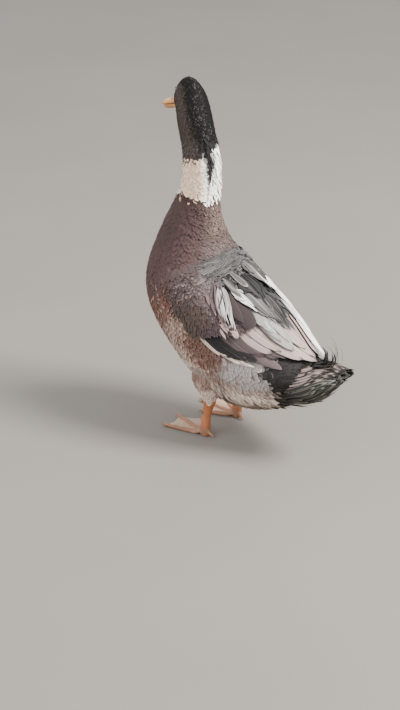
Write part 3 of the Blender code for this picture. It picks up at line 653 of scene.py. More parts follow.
def small_feathers(form, found, overlap, colours, direction=-1, rows=6, columns=3, ruffle=0.0004, wide=0.95,
                   depth=COAT_DEPTH, outer=-0.0002, tip="round", fluff=None):
    """A batch of small feathers at the roots found, each shaken from its place and overlap rows long. Its tip
    stands at outer with a random ruffle, and at fluff of its place above that."""
    station, angle, step, width = found.T
    count = len(found)
    jitter = draw.uniform(-0.3, 0.3, (count, 2))
    width_angle = width / np.linalg.norm(form.point(station, angle + 1) - form.point(station, angle), axis=1)
    station, angle = station + jitter[:, 0] * step, angle + jitter[:, 1] * width_angle
    long = direction * overlap * draw.uniform(0.88, 1.12, count) * step
    root = np.c_[station, angle]
    stop = root + np.c_[long, draw.normal(0, 0.22, count) * width_angle]
    height = outer + draw.normal(0, 1, count) * ruffle
    if fluff is not None:
        height = height + fluff(station, angle)
    look = colours(station + 0.5 * long, angle, draw.uniform(0, 1, count))
    half = width * wide * draw.uniform(0.9, 1.1, count) * 0.78
    return lay(form, root, stop, np.c_[-np.interp(station, *depth), height], half, looks(count, *look), rows,
               columns, 0.07, draw.normal(0, 3, count), tip)


def hanging(s, a):
    """How far the soft feathers of the lower belly stand off: up to 5.5 mm under the abdomen."""
    return 0.0055 * ramp(np.abs(a), 105, 150) * ramp(s, 0.3, 1.0) * fall(s, 2.6, 3.4)


def over_shoulder(s, a):
    """Lifts the feathers ahead of the folded wing over its front edge, up to 7 mm."""
    a = np.abs(a)
    return 0.0070 * ramp(s, 4.6, 5.1) * fall(s, 5.8, 6.6) * ramp(a, 36, 56) * fall(a, 92, 110)


def under_wing(s, a):
    """Whether a place of the body is well covered by the folded wings."""
    return (s > 1.7) & (s < 4.55) & (a > 14) & (a < np.interp(s, [1.7, 2.4, 3.3, 4.55], [34, 50, 62, 62]))


def grown(found, first, last, low, high, overlap, colours=marks, **shape):
    """Small feathers on a stretch of the body that the wings leave free: stations above first and up to
    last, and on both sides angles from low up to high."""
    s, a = found[:, 0], np.abs(found[:, 1])
    kept = (s > first) & (s <= last) & (a >= low) & (a < high) & ~under_wing(s, a)
    return small_feathers(body, found[kept], overlap, colours, **shape)


WAVE_GREY = paint(104, 102, 98)


def saddle_marks(s, a, chance):
    """Between the shoulders the feathers are pale with broad dark wavy bars, and mauve at the sides."""
    tint, fringe, edge, bars = marks(s, a, chance)
    grey = fall(np.abs(a) + (chance - 0.5) * 20, 40, 62) * fall(s, 5.8, 6.2)
    tint = over(tint, WAVE_GREY * (0.4 + 1.2 * chance[:, None]), grey)
    return tint, over(fringe, SLATE_EDGE * 1.5, grey), edge + (0.08 - edge) * grey, bars * (1 - grey) + 1.3 * grey


soft_plumage, wavy_plumage = plumage("body plumage", 0.72), plumage("wavy plumage", 0.72, pitch=1.7)
trunk = rows_over(body, 0.15, 8.9, [0, 2, 4, 6, 9], [0.0056, 0.0056, 0.0050, 0.0040, 0.0032],
                  [0.0046, 0.0046, 0.0040, 0.0032, 0.0024])
saddle_rows = rows_over(body, 3.4, 6.6, [0], [0.0040], [0.0090])
tight = dict(ruffle=0.0003, fluff=over_shoulder)
front = grown(trunk, 5.2, 9, 82, 181, 3.4, wide=1.35, **tight)
breast = grown(trunk, 3.4, 5.2, 82, 181, 3.4, wide=1.35, **tight)
belly = grown(trunk, 0, 3.4, 58, 181, 3.4, wide=1.3, ruffle=0.0005, fluff=hanging)
back = grown(trunk, 6.15, 9, 0, 82, 3.4, wide=1.35, ruffle=0.0006)
saddle = grown(saddle_rows, 0, 9, 0, 56, 3.8, saddle_marks, rows=8, columns=5, wide=1.35, ruffle=0.0005)
shoulder = grown(trunk, 4.7, 6.2, 48, 82, 3.8, wide=1.4, **tight)
rump = grown(trunk, 0, 3.4, 0, 58, 3.2, wide=1.2)
cape = grown(saddle_rows, 4.7, 5.75, 0, 60, 4.0, saddle_marks, rows=8, columns=5, wide=1.35, ruffle=0.0008,
             outer=0.0048)
coat("front_feathers", [front], soft_plumage, "plumage")
coat("breast_feathers", [breast], soft_plumage, "plumage")
coat("belly_feathers", [belly], soft_plumage, "plumage")
coat("saddle_feathers", [saddle, cape], wavy_plumage, "plumage", "torso")
coat("back_feathers", [back, shoulder, rump], soft_plumage, "plumage")

stem = rows_over(body, 8.85, 11.4, [8.8, 10, 11.4], [0.0030, 0.0027, 0.0023], [0.0022, 0.0021, 0.0021])
smooth_side = (stem[:, 1] > 28) & (stem[:, 1] < 150)
smooth = small_feathers(body, stem[smooth_side], 3.4, marks, wide=1.2)
ruffled = small_feathers(body, stem[~smooth_side], 4.4, marks, ruffle=0.0015, wide=1.05, tip="pointed")
coat("neck_feathers", [smooth, ruffled], plumage("neck plumage", 0.7, 0.2), "neck")


LID_ROOM = 0.0012


def clear_of_eyes(found):
    """Leaves the feathers off the eyes: none whose middle line comes within an eye's radius and a lid's."""
    paths = np.stack([body.point(found[:, 0] - back_by, found[:, 1]) for back_by in (0.0, 0.15, 0.3)])
    gaps = [np.linalg.norm(paths - eye_centre(side), axis=-1).min(0) for side in SIDES.values()]
    return found[np.minimum(*gaps) > EYE_RADIUS + LID_ROOM]


cap = rows_over(body, 11.3, 15.93, [11.3, 13, 15, 16], [0.0023, 0.0018, 0.0014, 0.0010],
                [0.0024, 0.0019, 0.0015, 0.0012])
hood = small_feathers(body, clear_of_eyes(cap), 3.0, marks, rows=5, ruffle=0.0002, outer=0.0)
coat("head_feathers", [hood], plumage("hood plumage", 0.65, 0.08), "dark_head")


def thigh_marks(s, a, chance):
    """The thigh is brown above, as the flank is, and paler towards the hock."""
    low = ramp(s + (chance - 0.5), 0.9, 2.4)
    spotted = 0.5 * ((chance * 7.3) % 1 > 0.7) * (1 - low)
    tint = over(over(FLANK, over(SPOT, CREAM, 0.4), 0.25 + 0.65 * low), FLANK, spotted)
    return tint, over(FLANK_EDGE, CREAM_EDGE, low), 0.25, 0.0


for word, form in thighs.items():
    made = small_feathers(form, rows_over(form, 0.4, 3.75, [0], [0.0036], [0.0036]), 3.4, thigh_marks, direction=1,
                          wide=1.2, ruffle=0.0008, depth=([0], [THIGH_COAT]))
    coat(f"thigh_feathers_{word}", [made], soft_plumage, "plumage")

# The folded wings: stiff flight feathers whose tips cross the rump, under rows of coverts and the long
# scapulars that drape from the shoulder. Each feather is a vane with a shaft, rooted in the wing's skin.
# The lowest tiers are laid first, and each tier stands a little over the one before.

MANTLE = {
    "wrist": Station(0.040, 0.207, 50, 0.071, 0.070, 0.0785),
    "forearm": Station(0.006, 0.170, 43, 0.080, 0.080, 0.0825),
    "elbow": Station(-0.032, 0.139, 40, 0.081, 0.080, 0.0810),
    "coverts": Station(-0.074, 0.117, 36, 0.071, 0.070, 0.0725),
    "secondaries": Station(-0.112, 0.106, 33, 0.054, 0.050, 0.0560),
    "primaries": Station(-0.142, 0.108, 28, 0.039, 0.035, 0.038),
    "tip": Station(-0.163, 0.121, 24, 0.027, 0.020, 0.022),
}
mantle = Form(MANTLE)

WHITE, PINK, ROSE = np.array([0.84, 0.82, 0.77]), paint(188, 166, 160), paint(156, 132, 127)
PALE_GREY, MID_GREY, DARK = paint(176, 172, 166), paint(140, 138, 134), paint(44, 42, 41)
MAUVE_GREY, MAUVE_DARK, INK = paint(116, 100, 100), paint(84, 68, 68), paint(32, 29, 28)
CREAM_WHITE, TAUPE, TAUPE_EDGE = paint(214, 190, 170), paint(84, 70, 62), paint(112, 98, 90)


def wing_marks(station, angle, chance):
    """Colours of the wing's small feathers, as marks gives the body's. The angle counts from the back."""
    s, a = station + (chance - 0.5) * 0.2, np.abs(angle) + (chance - 0.5) * 8
    other = (chance * 7.3) % 1
    return marked((MAUVE_GREY * 0.85, paint(150, 136, 134), 0.2, 0.0), [
        Mark(fall(s, 0.3, 0.8) * fall(a, 52, 60) * (other > 0.8), MAUVE_GREY, ROSE, 0.14),
        Mark(ramp(s, 0.2, 0.5) * fall(a, 50, 58) * ramp(a, 30, 36), MAUVE_DARK, MAUVE_GREY * 0.9, 0.14),
        Mark(ramp(a, 54, 62) * fall(s, 1.2, 1.5), over(MAUVE, TAUPE, ramp(s, 0.2, 0.7)), TAUPE_EDGE, 0.12),
        Mark(ramp(s, 1.0, 1.3) * ramp(a, 44, 50), MAUVE_DARK * 0.8, MAUVE_GREY * 0.8, 0.14),
        Mark(fall(a, 28, 36) * fall(s, 2.6, 3.2), over(DARK * 0.7, MID_GREY * 0.6, 0.7 * (other > 0.74)),
             MID_GREY * 0.8, 0.07),
        Mark(fall(a, 22, 28) * ramp(a, 8, 12) * ramp(s, 1.1, 1.5) * fall(s, 2.2, 2.5), MID_GREY * 0.25,
             MID_GREY, 0.12),
        Mark(fall(s, -0.1, 0.25) * fall(a, 30, 40), SLATE, SLATE_EDGE, 0.13),
    ])


# Flight feathers and great coverts in tiers, the lowest first
WingTier = namedtuple("WingTier", "count root_start root_end tip_start tip_end root_lift tip_lift half_width "
                      "tint fringe edge shaft tip", defaults=["blade"])
WING = [
    WingTier(9, (1.7, 65), (2.2, 46), (3.00, 57), (3.84, 45), -0.0068, (-0.0064, -0.0048), 0.0048,
             MAUVE_GREY * 0.8, paint(132, 118, 116), 0.08, 0.6),
    WingTier(7, (1.25, 81), (2.1, 75), (1.95, 78.5), (3.00, 62.5), -0.0064, (-0.0040, -0.0036), 0.0020,
             CREAM_WHITE, paint(240, 224, 206), 0.3, 0.1),
    WingTier(9, (1.25, 75), (1.7, 60), (2.28, 71.5), (3.08, 57), -0.0060, (-0.0042, -0.0034), 0.0046,
             INK, paint(116, 104, 100), 0.10, 0.3),
    WingTier(10, (1.25, 60), (1.95, 26), (2.60, 55), (3.75, 24), -0.0058, (-0.0042, -0.0032), 0.0060,
             MAUVE_GREY * 0.55, INK, 0.10, 0.8),
    # Painted shadow: these pink tertials carry a dark fringe all round that stands for the shade along each one's
    # lower edge
    WingTier(7, (1.2, 38), (1.9, 10), (3.00, 36), (4.55, 4), -0.0054, (-0.0034, -0.0010), 0.0074,
             PINK * 0.9, MAUVE_DARK * 0.6, 0.16, 0.7, "pointed"),
]
# Single feathers that stand out, the lowest first: start, stop, tip lift, half width, colours, fringe width,
# shape of the tip and bend to the side
Vane = namedtuple("Vane", "start stop lift half_width tint fringe edge tip bow", defaults=["pointed", 0])
ODD_FEATHERS = {
    "left": [
        ((1.40, 47), (2.95, 45), -0.0030, 0.0056, MAUVE_GREY * 0.8, INK, 0.10, "blade"),
        # Painted shadow: the pink tertials below take a dark fringe all round, standing for the shade along each
        # one's lower edge
        ((1.70, 44), (3.13, 37.5), -0.0020, 0.0060, PINK, MAUVE_DARK * 0.4, 0.14, "blade", 3),
        ((1.60, 37), (3.30, 29), -0.0008, 0.0056, PINK, MAUVE_DARK * 0.4, 0.16, "pointed", 3),
        ((2.20, 35), (4.05, 15), -0.0004, 0.0058, PINK, MAUVE_DARK * 0.4, 0.14, "blade", 4),
        ((2.30, 25), (4.68, -1), 0.0004, 0.0066, PINK * 1.15, MAUVE_DARK * 0.5, 0.12, "pointed", 3),
        ((2.30, 9), (4.25, -4), 0.0008, 0.0078, PINK * 1.1, paint(150, 130, 120), 0.12),
        ((2.00, 12), (3.75, 1), 0.0014, 0.0080, PINK * 1.1, MAUVE_DARK * 0.5, 0.10),
        ((1.30, 19), (3.55, 17), 0.0022, 0.0126, PALE_GREY, DARK * 0.5, 0.10),
        ((1.40, 21), (3.05, 22), 0.0027, 0.0050, PALE_GREY * 0.85, PALE_GREY * 0.6, 0.2, "pointed", 1),
        ((1.40, 17), (3.20, 15), 0.0027, 0.0046, PALE_GREY * 1.1, PALE_GREY * 0.7, 0.2, "pointed", -1),
        # Painted shadow: this pink feather's dark fringe stands for the shade along its lower edge
        ((1.45, 46), (2.12, 50.5), 0.0010, 0.0046, PINK * 1.1, MAUVE_DARK, 0.14, "round"),
        ((1.00, 27), (2.16, 34), 0.0032, 0.0108, MAUVE_DARK * 0.45, MAUVE_GREY * 0.5, 0.08, "round"),
        ((0.90, 29), (1.85, 37), 0.0038, 0.0060, MAUVE_DARK * 0.5, MAUVE_GREY * 0.6, 0.12, "pointed", 2),
        ((0.95, 11), (2.30, 10), 0.0026, 0.0044, MID_GREY * 0.35, PALE_GREY * 0.8, 0.12),
        ((1.10, 16), (2.15, 15), 0.0028, 0.0040, MID_GREY * 0.25, PALE_GREY, 0.14),
        ((1.20, 13), (2.45, 12), 0.0030, 0.0036, MID_GREY * 0.8, PALE_GREY, 0.14),
        ((1.45, 6), (2.75, 6), 0.0024, 0.0044, MID_GREY * 0.35, PALE_GREY * 0.8, 0.14),
        ((1.30, 9), (2.45, 9), 0.0026, 0.0034, DARK * 0.7, MID_GREY * 0.8, 0.14),
        ((1.25, 1), (2.70, 3), 0.0028, 0.0052, DARK * 0.8, MID_GREY * 0.8, 0.08),
        ((1.60, -2), (3.00, -2), 0.0026, 0.0044, MID_GREY * 0.3, MID_GREY, 0.12),
        ((0.90, 5), (2.00, 6), 0.0030, 0.0046, DARK * 0.7, MID_GREY * 0.7, 0.12),
        ((0.60, 8), (1.50, 8), 0.0032, 0.0056, DARK * 0.7, MID_GREY * 0.7, 0.10, "round"),
        ((0.30, 14), (1.02, 11), 0.0040, 0.0046, MID_GREY * 0.4, PALE_GREY * 0.9, 0.20, "round"),
        ((0.30, 44), (0.85, 51), 0.0016, 0.0024, ROSE * 0.8, ROSE, 0.2),
        ((0.40, 43), (1.22, 52), 0.0020, 0.0020, MAUVE_GREY, PINK, 0.2),
        ((0.40, 39), (1.15, 48), 0.0020, 0.0022, MAUVE_DARK, ROSE, 0.2, "pointed", 1),
        ((0.50, 40), (1.45, 50), 0.0024, 0.0024, paint(126, 92, 84), ROSE, 0.2),
        ((0.45, 36), (1.42, 46), 0.0026, 0.0026, paint(104, 76, 70), ROSE, 0.2),
        ((1.00, 47), (1.66, 51), 0.0024, 0.0022, MAUVE_DARK, ROSE, 0.3),
        ((1.15, 49), (1.80, 52), 0.0026, 0.0022, MAUVE_DARK, PINK, 0.3),
        ((1.32, 53), (1.82, 54), 0.0020, 0.0022, paint(196, 170, 160), PINK, 0.2),
        ((1.50, 57), (1.92, 59), 0.0018, 0.0018, PINK, PINK, 0.3),
    ],
    "right": [
        ((0.50, 26), (1.75, 27), 0.0030, 0.0044, WHITE * 0.9, WHITE, 0.2),
        ((0.90, 25), (2.80, 24.5), 0.0032, 0.0046, WHITE, WHITE, 0.2),
        ((1.40, 19), (3.00, 18), 0.0028, 0.0040, MID_GREY * 0.4, MID_GREY, 0.16),
        ((1.70, 24.5), (3.75, 22), 0.0034, 0.0048, WHITE, WHITE, 0.2),
        # Painted shadow: this pink tertial's dark fringe stands for the shade along its lower edge
        ((2.30, 17), (4.10, 13), 0.0020, 0.0050, PINK * 1.1, MAUVE_DARK * 0.5, 0.10, "blade"),
        ((2.30, 24.5), (4.40, 22.5), 0.0038, 0.0050, WHITE, WHITE, 0.10),
        ((2.70, 21), (4.85, 22), 0.0042, 0.0052, WHITE, PINK, 0.06),
        ((1.35, 34), (3.45, 32), 0.0006, 0.0120, PALE_GREY, DARK, 0.08, "round"),
    ],
}

# Streaks, each a bunch of narrow feathers side by side: how many, start, stop, width of the bunch in degrees,
# lift, half width of a feather, colour at either edge and in the middle, and how much they differ
STREAKS = {
    "left": [
        (8, (0.42, 33.5), (1.45, 47), 5.0, 0.0040, 0.0011, paint(88, 76, 74), paint(132, 118, 114), 0.2),
        (16, (0.62, 33), (1.82, 46.5), 9.0, 0.0044, 0.0014, paint(160, 155, 150), paint(240, 238, 233), 0.07),
        (7, (0.40, 25), (1.40, 23), 4.0, 0.0042, 0.0012, paint(90, 86, 82), paint(176, 172, 166), 0.3),
        (12, (0.85, 25), (1.80, 21), 6.5, 0.0046, 0.0015, paint(196, 192, 186), WHITE, 0.08),
        (24, (0.90, 13), (2.35, 11), 26.0, 0.0030, 0.0015, paint(48, 47, 46), paint(120, 118, 114), 0.55),
        (24, (1.35, 5), (2.85, 4), 24.0, 0.0028, 0.0015, paint(38, 37, 36), paint(84, 82, 79), 0.55),
        (16, (0.60, 7), (1.75, 7), 22.0, 0.0034, 0.0016, paint(24, 23, 22), paint(66, 64, 62), 0.5),
        (8, (1.80, 20), (3.00, 20), 12.0, 0.0028, 0.0018, paint(150, 147, 142), paint(190, 187, 181), 0.1),
    ],
    "right": [
        (12, (0.62, 19.5), (1.90, 22), 13.0, 0.0038, 0.0018, WHITE * 0.7, WHITE * 1.15, 0.08),
        (12, (1.00, 24), (2.70, 25), 11.0, 0.0040, 0.0016, WHITE * 0.7, WHITE * 1.15, 0.08),
        (12, (1.70, 23.5), (3.70, 23.5), 11.5, 0.0044, 0.0017, WHITE * 0.8, WHITE * 1.15, 0.08),
        (14, (2.50, 21.5), (4.85, 22.5), 12.5, 0.0050, 0.0018, WHITE * 0.8, WHITE * 1.15, 0.08),
        (14, (0.10, 14), (1.40, 14), 22.0, 0.0034, 0.0018, paint(60, 58, 56), paint(130, 127, 122), 0.5),
    ],
}

# Thickness of a flight feather and of a streak's feather, how far a single feather's root lies below its tip,
# how deep the wing's small feathers are rooted, how much roots and tips of a tier stray in station and degrees,
# and for flight, single and streak feathers their rows, columns and arch
FLIGHT_VANE, STREAK_VANE, ROOT_DROP, WING_COAT = 0.0004, 0.0003, 0.0036, ([0], [0.0055])
ROOT_STRAY, TIP_STRAY = (0.02, 0.6), (0.05, 0.8)
FLIGHT_MESH, SINGLE_MESH, STREAK_MESH = (16, 9, 0.10), (18, 9, 0.12), (16, 5, 0.12)


def between(start, end, share):
    """Places from start to end: start + (end - start) * share."""
    return np.asarray(start, float) + (np.asarray(end, float) - np.asarray(start, float)) * share


wing_plumage = plumage("wing plumage", 0.68, 0.22, 5.0, 0.24)
coverts = rows_over(mantle, -0.35, 1.75, [0], [0.0046], [0.0034])
scapulars = rows_over(mantle, -0.4, 2.6, [-0.4, 0.2, 1], [0.0058, 0.0070, 0.0125], [0.0056, 0.0054, 0.0046])
for word, side in SIDES.items():
    batches = []
    for tier in WING:
        share = np.linspace(0, 1, tier.count)[:, None]
        root = between(tier.root_start, tier.root_end, share) + draw.normal(0, 1, (tier.count, 2)) * ROOT_STRAY
        stop = between(tier.tip_start, tier.tip_end, share) + draw.normal(0, 1, (tier.count, 2)) * TIP_STRAY
        lift = between(*((tier.root_lift, tip_lift) for tip_lift in tier.tip_lift), share)
        look = looks(tier.count, tier.tint, tier.fringe, tier.edge, shaft=tier.shaft, spread=0.10)
        half = tier.half_width * draw.uniform(0.93, 1.07, tier.count)
        batches.append(lay(mantle, root * (1, side), stop * (1, side), lift, half, look, *FLIGHT_MESH, -side * 6.0,
                           tier.tip, FLIGHT_VANE))
    inner = -3.0 if word == "left" else 1.0
    for found, low, high, last, tip, long in ((coverts, 32, 86, 2.5, "pointed", 4.0),
                                              (scapulars, inner, 35, 1.9, "pointed", 2.9)):
        s, a = found[:, 0], found[:, 1] * side
        kept = (a > low) & (a < high) & (s + np.maximum(a - 8, 0) * 0.02 < last)
        batches.append(small_feathers(mantle, found[kept], long, wing_marks, direction=1, rows=8, columns=5,
                                      ruffle=0.0003, wide=1.1, depth=WING_COAT, outer=0.0004, tip=tip))
    for row in ODD_FEATHERS[word]:
        vane = Vane(*row)
        look = looks(1, vane.tint, vane.fringe, vane.edge, shaft=0.35, spread=0.0)
        start, stop = np.array([[vane.start], [vane.stop]]) * (1, side)
        batches.append(lay(mantle, start, stop, [(vane.lift - ROOT_DROP, vane.lift)], [vane.half_width], look,
                           *SINGLE_MESH, 0.0, vane.tip, FLIGHT_VANE, vane.bow))
    for count, start, stop, wide, tip_lift, half, rim, middle, spread in STREAKS[word]:
        offset = draw.permutation(np.linspace(-1, 1, count))[:, None]
        start = start + np.c_[draw.uniform(-0.1, 0.25, (count, 1)), offset * wide * 0.35]
        stop = stop + np.c_[draw.uniform(-0.35, 0.1, (count, 1)), offset * wide * 0.25]
        stop[:, 0] -= 0.35 * np.abs(offset[:, 0]) ** 1.5
        tint = over(middle, rim, np.abs(offset[:, 0]) ** 1.3)
        tips = tip_lift + draw.uniform(-0.0004, 0.0006, (count, 1))
        look = looks(count, tint, tint * 0.85, 0.12, shaft=0.12, spread=spread)
        batches.append(lay(mantle, start * (1, side), stop * (1, side), np.c_[tips - ROOT_DROP, tips],
                           np.full(count, half), look, *STREAK_MESH, 0.0, "pointed", STREAK_VANE,
                           side * offset * wide * 0.22))
    coat(f"wing_feathers_{word}", batches, wing_plumage, "wing", f"wing_{word}")

# The tail: stiff dark feathers with pale edges, stacked in tiers round a cocked core of skin, with soft coverts
# over their roots, and on top the drake's curls, narrow feathers that turn up and forward.

TAIL_FORM = {
    "rump": Station(-0.112, 0.112, 22, 0.0450, 0.0580, 0.0510),
    "root": Station(-0.138, 0.111, 8, 0.0335, 0.0400, 0.0350),
    "base": Station(-0.160, 0.117, -10, 0.0270, 0.0310, 0.0315),
    "middle": Station(-0.178, 0.124, -18, 0.0205, 0.0185, 0.0275),
    "tips": Station(-0.195, 0.130, -20, 0.0145, 0.0085, 0.0240),
    "end": Station(-0.207, 0.136, -20, 0.0090, 0.0040, 0.0210),
}
tail_form = Form(TAIL_FORM)
TAIL_GREY, TAIL_EDGE, TAIL_TIP = paint(192, 170, 162), paint(40, 32, 31), paint(44, 47, 43)
TAIL_DARK, TAIL_PALE = paint(58, 57, 54), paint(186, 182, 170)
TailTier = namedtuple("TailTier", "count root_start root_end tip_start tip_end tip_lift half_width "
                      "tint fringe edge")
# From the inside out: five stacked inner tiers, a ridge of dark vanes on top, six outer tiers, upper and lower
# by turns, and the sooty coverts over the roots
TAIL = [
    TailTier(6, (2.9, 4), (2.9, 86), (4.6, 4), (4.3, 86), -0.0088, 0.0058, TAIL_DARK, TAIL_PALE, 0.09),
    TailTier(6, (2.8, 8), (2.8, 88), (4.5, 8), (4.2, 88), -0.0068, 0.0056, TAIL_TIP, TAIL_PALE, 0.09),
    TailTier(8, (2.7, 4), (2.7, 90), (4.5, 4), (4.15, 90), -0.0046, 0.0050, TAIL_TIP, TAIL_GREY, 0.10),
    TailTier(6, (2.4, 94), (2.4, 172), (4.3, 94), (4.6, 172), -0.0048, 0.0056, TAIL_DARK, TAIL_PALE, 0.09),
    TailTier(8, (2.0, 8), (2.0, 172), (4.4, 8), (4.1, 172), -0.0026, 0.0046, TAIL_TIP, TAIL_GREY * 0.6, 0.12),
    TailTier(7, (1.0, 3), (1.2, 30), (3.3, 1), (3.4, 22), 0.0060, 0.0034, TAIL_EDGE, TAIL_DARK, 0.12),
    TailTier(12, (0.6, 5), (0.4, 104), (4.4, 3), (4.1, 60), -0.0010, 0.0030, TAIL_GREY, TAIL_EDGE, 0.26),
    TailTier(10, (0.6, 106), (0.8, 172), (4.1, 66), (3.7, 172), -0.0012, 0.0036, TAIL_DARK, TAIL_PALE, 0.18),
    TailTier(12, (0.1, 10), (0.0, 104), (3.6, 6), (3.5, 56), 0.0006, 0.0027, TAIL_GREY, TAIL_EDGE, 0.26),
    TailTier(9, (0.1, 108), (0.4, 170), (3.4, 64), (2.9, 168), 0.0002, 0.0034, TAIL_DARK, TAIL_PALE, 0.20),
    TailTier(10, (0.0, 40), (-0.2, 106), (2.6, 22), (2.8, 68), 0.0018, 0.0021, TAIL_GREY, TAIL_EDGE, 0.30),
    TailTier(8, (-0.1, 110), (0.2, 168), (2.4, 76), (1.9, 166), 0.0012, 0.0032, TAIL_DARK, TAIL_PALE * 0.8, 0.18),
    TailTier(14, (-0.4, 12), (-0.4, 84), (1.25, 6), (0.95, 66), 0.0026, 0.0030, SOOT, TAIL_GREY * 0.22, 0.10),
    TailTier(10, (-0.3, 88), (-0.1, 160), (0.8, 74), (0.7, 160), 0.0024, 0.0038, SOOT, TAIL_GREY * 0.22, 0.10),
]
# Lift of the roots, the station that no tip passes, the tip station from which a tier's tips are tinted, how
# deep the core lies, the lift above which a tier is an outer one, how much outer and inner tips stray, and the
# rows, columns and arch of a vane
TAIL_ROOT_LIFT, TAIL_REACH, TINTED_FROM = -0.0085, 4.85, 4.3
CORE_DEPTH = [0.75, 3, 3.5], [0.0076, 0.0080, 0.0086]
OUTER_LIFT, OUTER_STRAY, INNER_STRAY, TAIL_MESH = -0.002, (0.34, 2.0), (0.24, 2.4), (16, 7, 0.10)


def mottled(name, scale, dark, pale, depth, strength, roughness):
    """A finish that goes between two colours by a noise, which roughens the surface as well."""
    made = Finish(name)
    grain = made.noise(scale, 3)
    return made.done(Base_Color=made.mix(grain, dark, pale), Normal=made.bump(grain, depth, strength),
                     Roughness=roughness)


levels = np.linspace(0.75, 3.5, 40)[:, None]
core = put("tail_core", *tube(tail_form.point(levels, around[::2], -np.interp(levels, *CORE_DEPTH))))
tail_skin = mottled("tail skin", 900, [0.012, 0.010, 0.010], [0.03, 0.026, 0.026], 0.0004, 0.6, 0.85)
dressed(core, tail_skin, "tail", "tail")

tail_plumage = plumage("tail plumage", 0.55, 0.35, 6.0, 0.2)
batches = []
for tier in TAIL:
    stray = OUTER_STRAY if tier.tip_lift > OUTER_LIFT else INNER_STRAY
    tip = (TAIL_TIP, (0.80, 0.94)) if tier.tip_start[0] > TINTED_FROM else NO_TIP
    lift = np.tile([min(TAIL_ROOT_LIFT, tier.tip_lift - 0.003), tier.tip_lift], (tier.count, 1))
    share = np.linspace(0, 1, tier.count)[:, None]
    root = between(tier.root_start, tier.root_end, share)
    for side in SIDES.values():
        stop = between(tier.tip_start, tier.tip_end, share) + draw.normal(0, 1, (tier.count, 2)) * stray
        stop[:, 0] = np.minimum(stop[:, 0], TAIL_REACH)
        look = looks(tier.count, tier.tint, tier.fringe, tier.edge, shaft=0.5, spread=0.16, tip=tip)
        tilt = side * np.where(root[:, 1] < 90, -6.0, 6.0)
        half = tier.half_width * draw.uniform(0.85, 1.1, tier.count)
        batches.append(lay(tail_form, root * (1, side), stop * (1, side), lift, half, look, *TAIL_MESH, tilt,
                           "pointed", FLIGHT_VANE))
coat("tail_feathers", batches, tail_plumage, "tail", "tail")

CURL_FORWARD, CURL_UP, CURL_LEAN, CURL_VANE, CURL_ROWS = 0.45, 0.52, 0.011, 0.0003, 26
CURL_DARK, CURL_EDGE = paint(34, 32, 33), paint(60, 58, 58)


def curls(starts, rises, half_widths):
    """Curled feathers: a line that turns from level through 110 to 200 degrees, (sin, 1 - cos) scaled by the
    rise, leaning sideways by its number's sine, and a narrow arched vane about it. The rings have five points
    above and one below."""
    share, v = np.linspace(0, 1, CURL_ROWS), np.linspace(-1, 1, 5)
    parts = []
    for number, (start, rise, half) in enumerate(zip(starts, rises, half_widths)):
        turn = np.radians(np.linspace(-25, 155 + 45 * np.sin(number * 2.3), CURL_ROWS))
        line = np.c_[start[0] - 0.010 - rise * CURL_FORWARD * np.sin(turn) - 0.004 * share,
                     start[1] + CURL_LEAN * share * np.sin(number * 3.7),
                     start[2] + rise * CURL_UP * (1 - np.cos(turn)) + 0.003 * share]
        line = np.concatenate([[np.array(start) + (-0.001, 0, -0.006)], line[:-1]]) + Form.shift
        across = np.tile([0.0, 1.0, 0.0], (CURL_ROWS, 1))
        square = np.cross(unit(np.gradient(line, axis=0)), across)
        reach = (half * np.interp(share, [0, 0.2, 0.7, 1], [0.5, 1, 0.7, 0.1]))[:, None] * v
        top = line[:, None] + across[:, None] * reach[..., None] - square[:, None] * (0.3 * reach * v)[..., None]
        parts.append(np.concatenate([top, (line - square * CURL_VANE)[:, None]], 1))
    return dict(points=np.array(parts), share=share, v=v, root=np.array(starts)[:, :2],
                look=looks(len(parts), CURL_DARK, CURL_EDGE, 0.1, shaft=0.3),
                length=np.full(len(parts), 0.05), half_width=np.array(half_widths))


curl_starts = [(-0.143 - 0.0016 * i, -0.011 + 0.0019 * (7 * i % 12), 0.139) for i in range(12)]
curl_rises = 0.017 + 0.006 * np.sin(np.arange(12) * 1.9)
curl_batch = curls(curl_starts, curl_rises, np.linspace(0.0038, 0.0022, 12))
hair_starts = [(-0.150 - 0.0018 * i, -0.012 + 0.0024 * (3 * i % 10), 0.138) for i in range(8)]
hair_batch = curls(hair_starts, 0.029 + 0.008 * np.sin(np.arange(8) * 2.1), np.full(8, 0.0006))
coat("curl_feathers", [curl_batch, hair_batch], tail_plumage, "tail")

# The eyes: wet dark balls with a brown iris round a black pupil, set in the skull, each with an upper and a
# lower lid of bare dark skin that fold round its rim.

EYE_DEEPER = 0.0006
LID_THICKNESS, LID_BREADTH, LID_GAP = 0.00055, 2.1, 0.0002
PUPIL_RADIUS, IRIS_RADIUS = 2.1, 4.1


def eye_axis(side):
    """The eye's middle, sunk a little, and the direction in which it looks: from one eye to the other."""
    out = unit(eye_centre(side) - eye_centre(-side))
    return eye_centre(side) - out * EYE_DEEPER, out


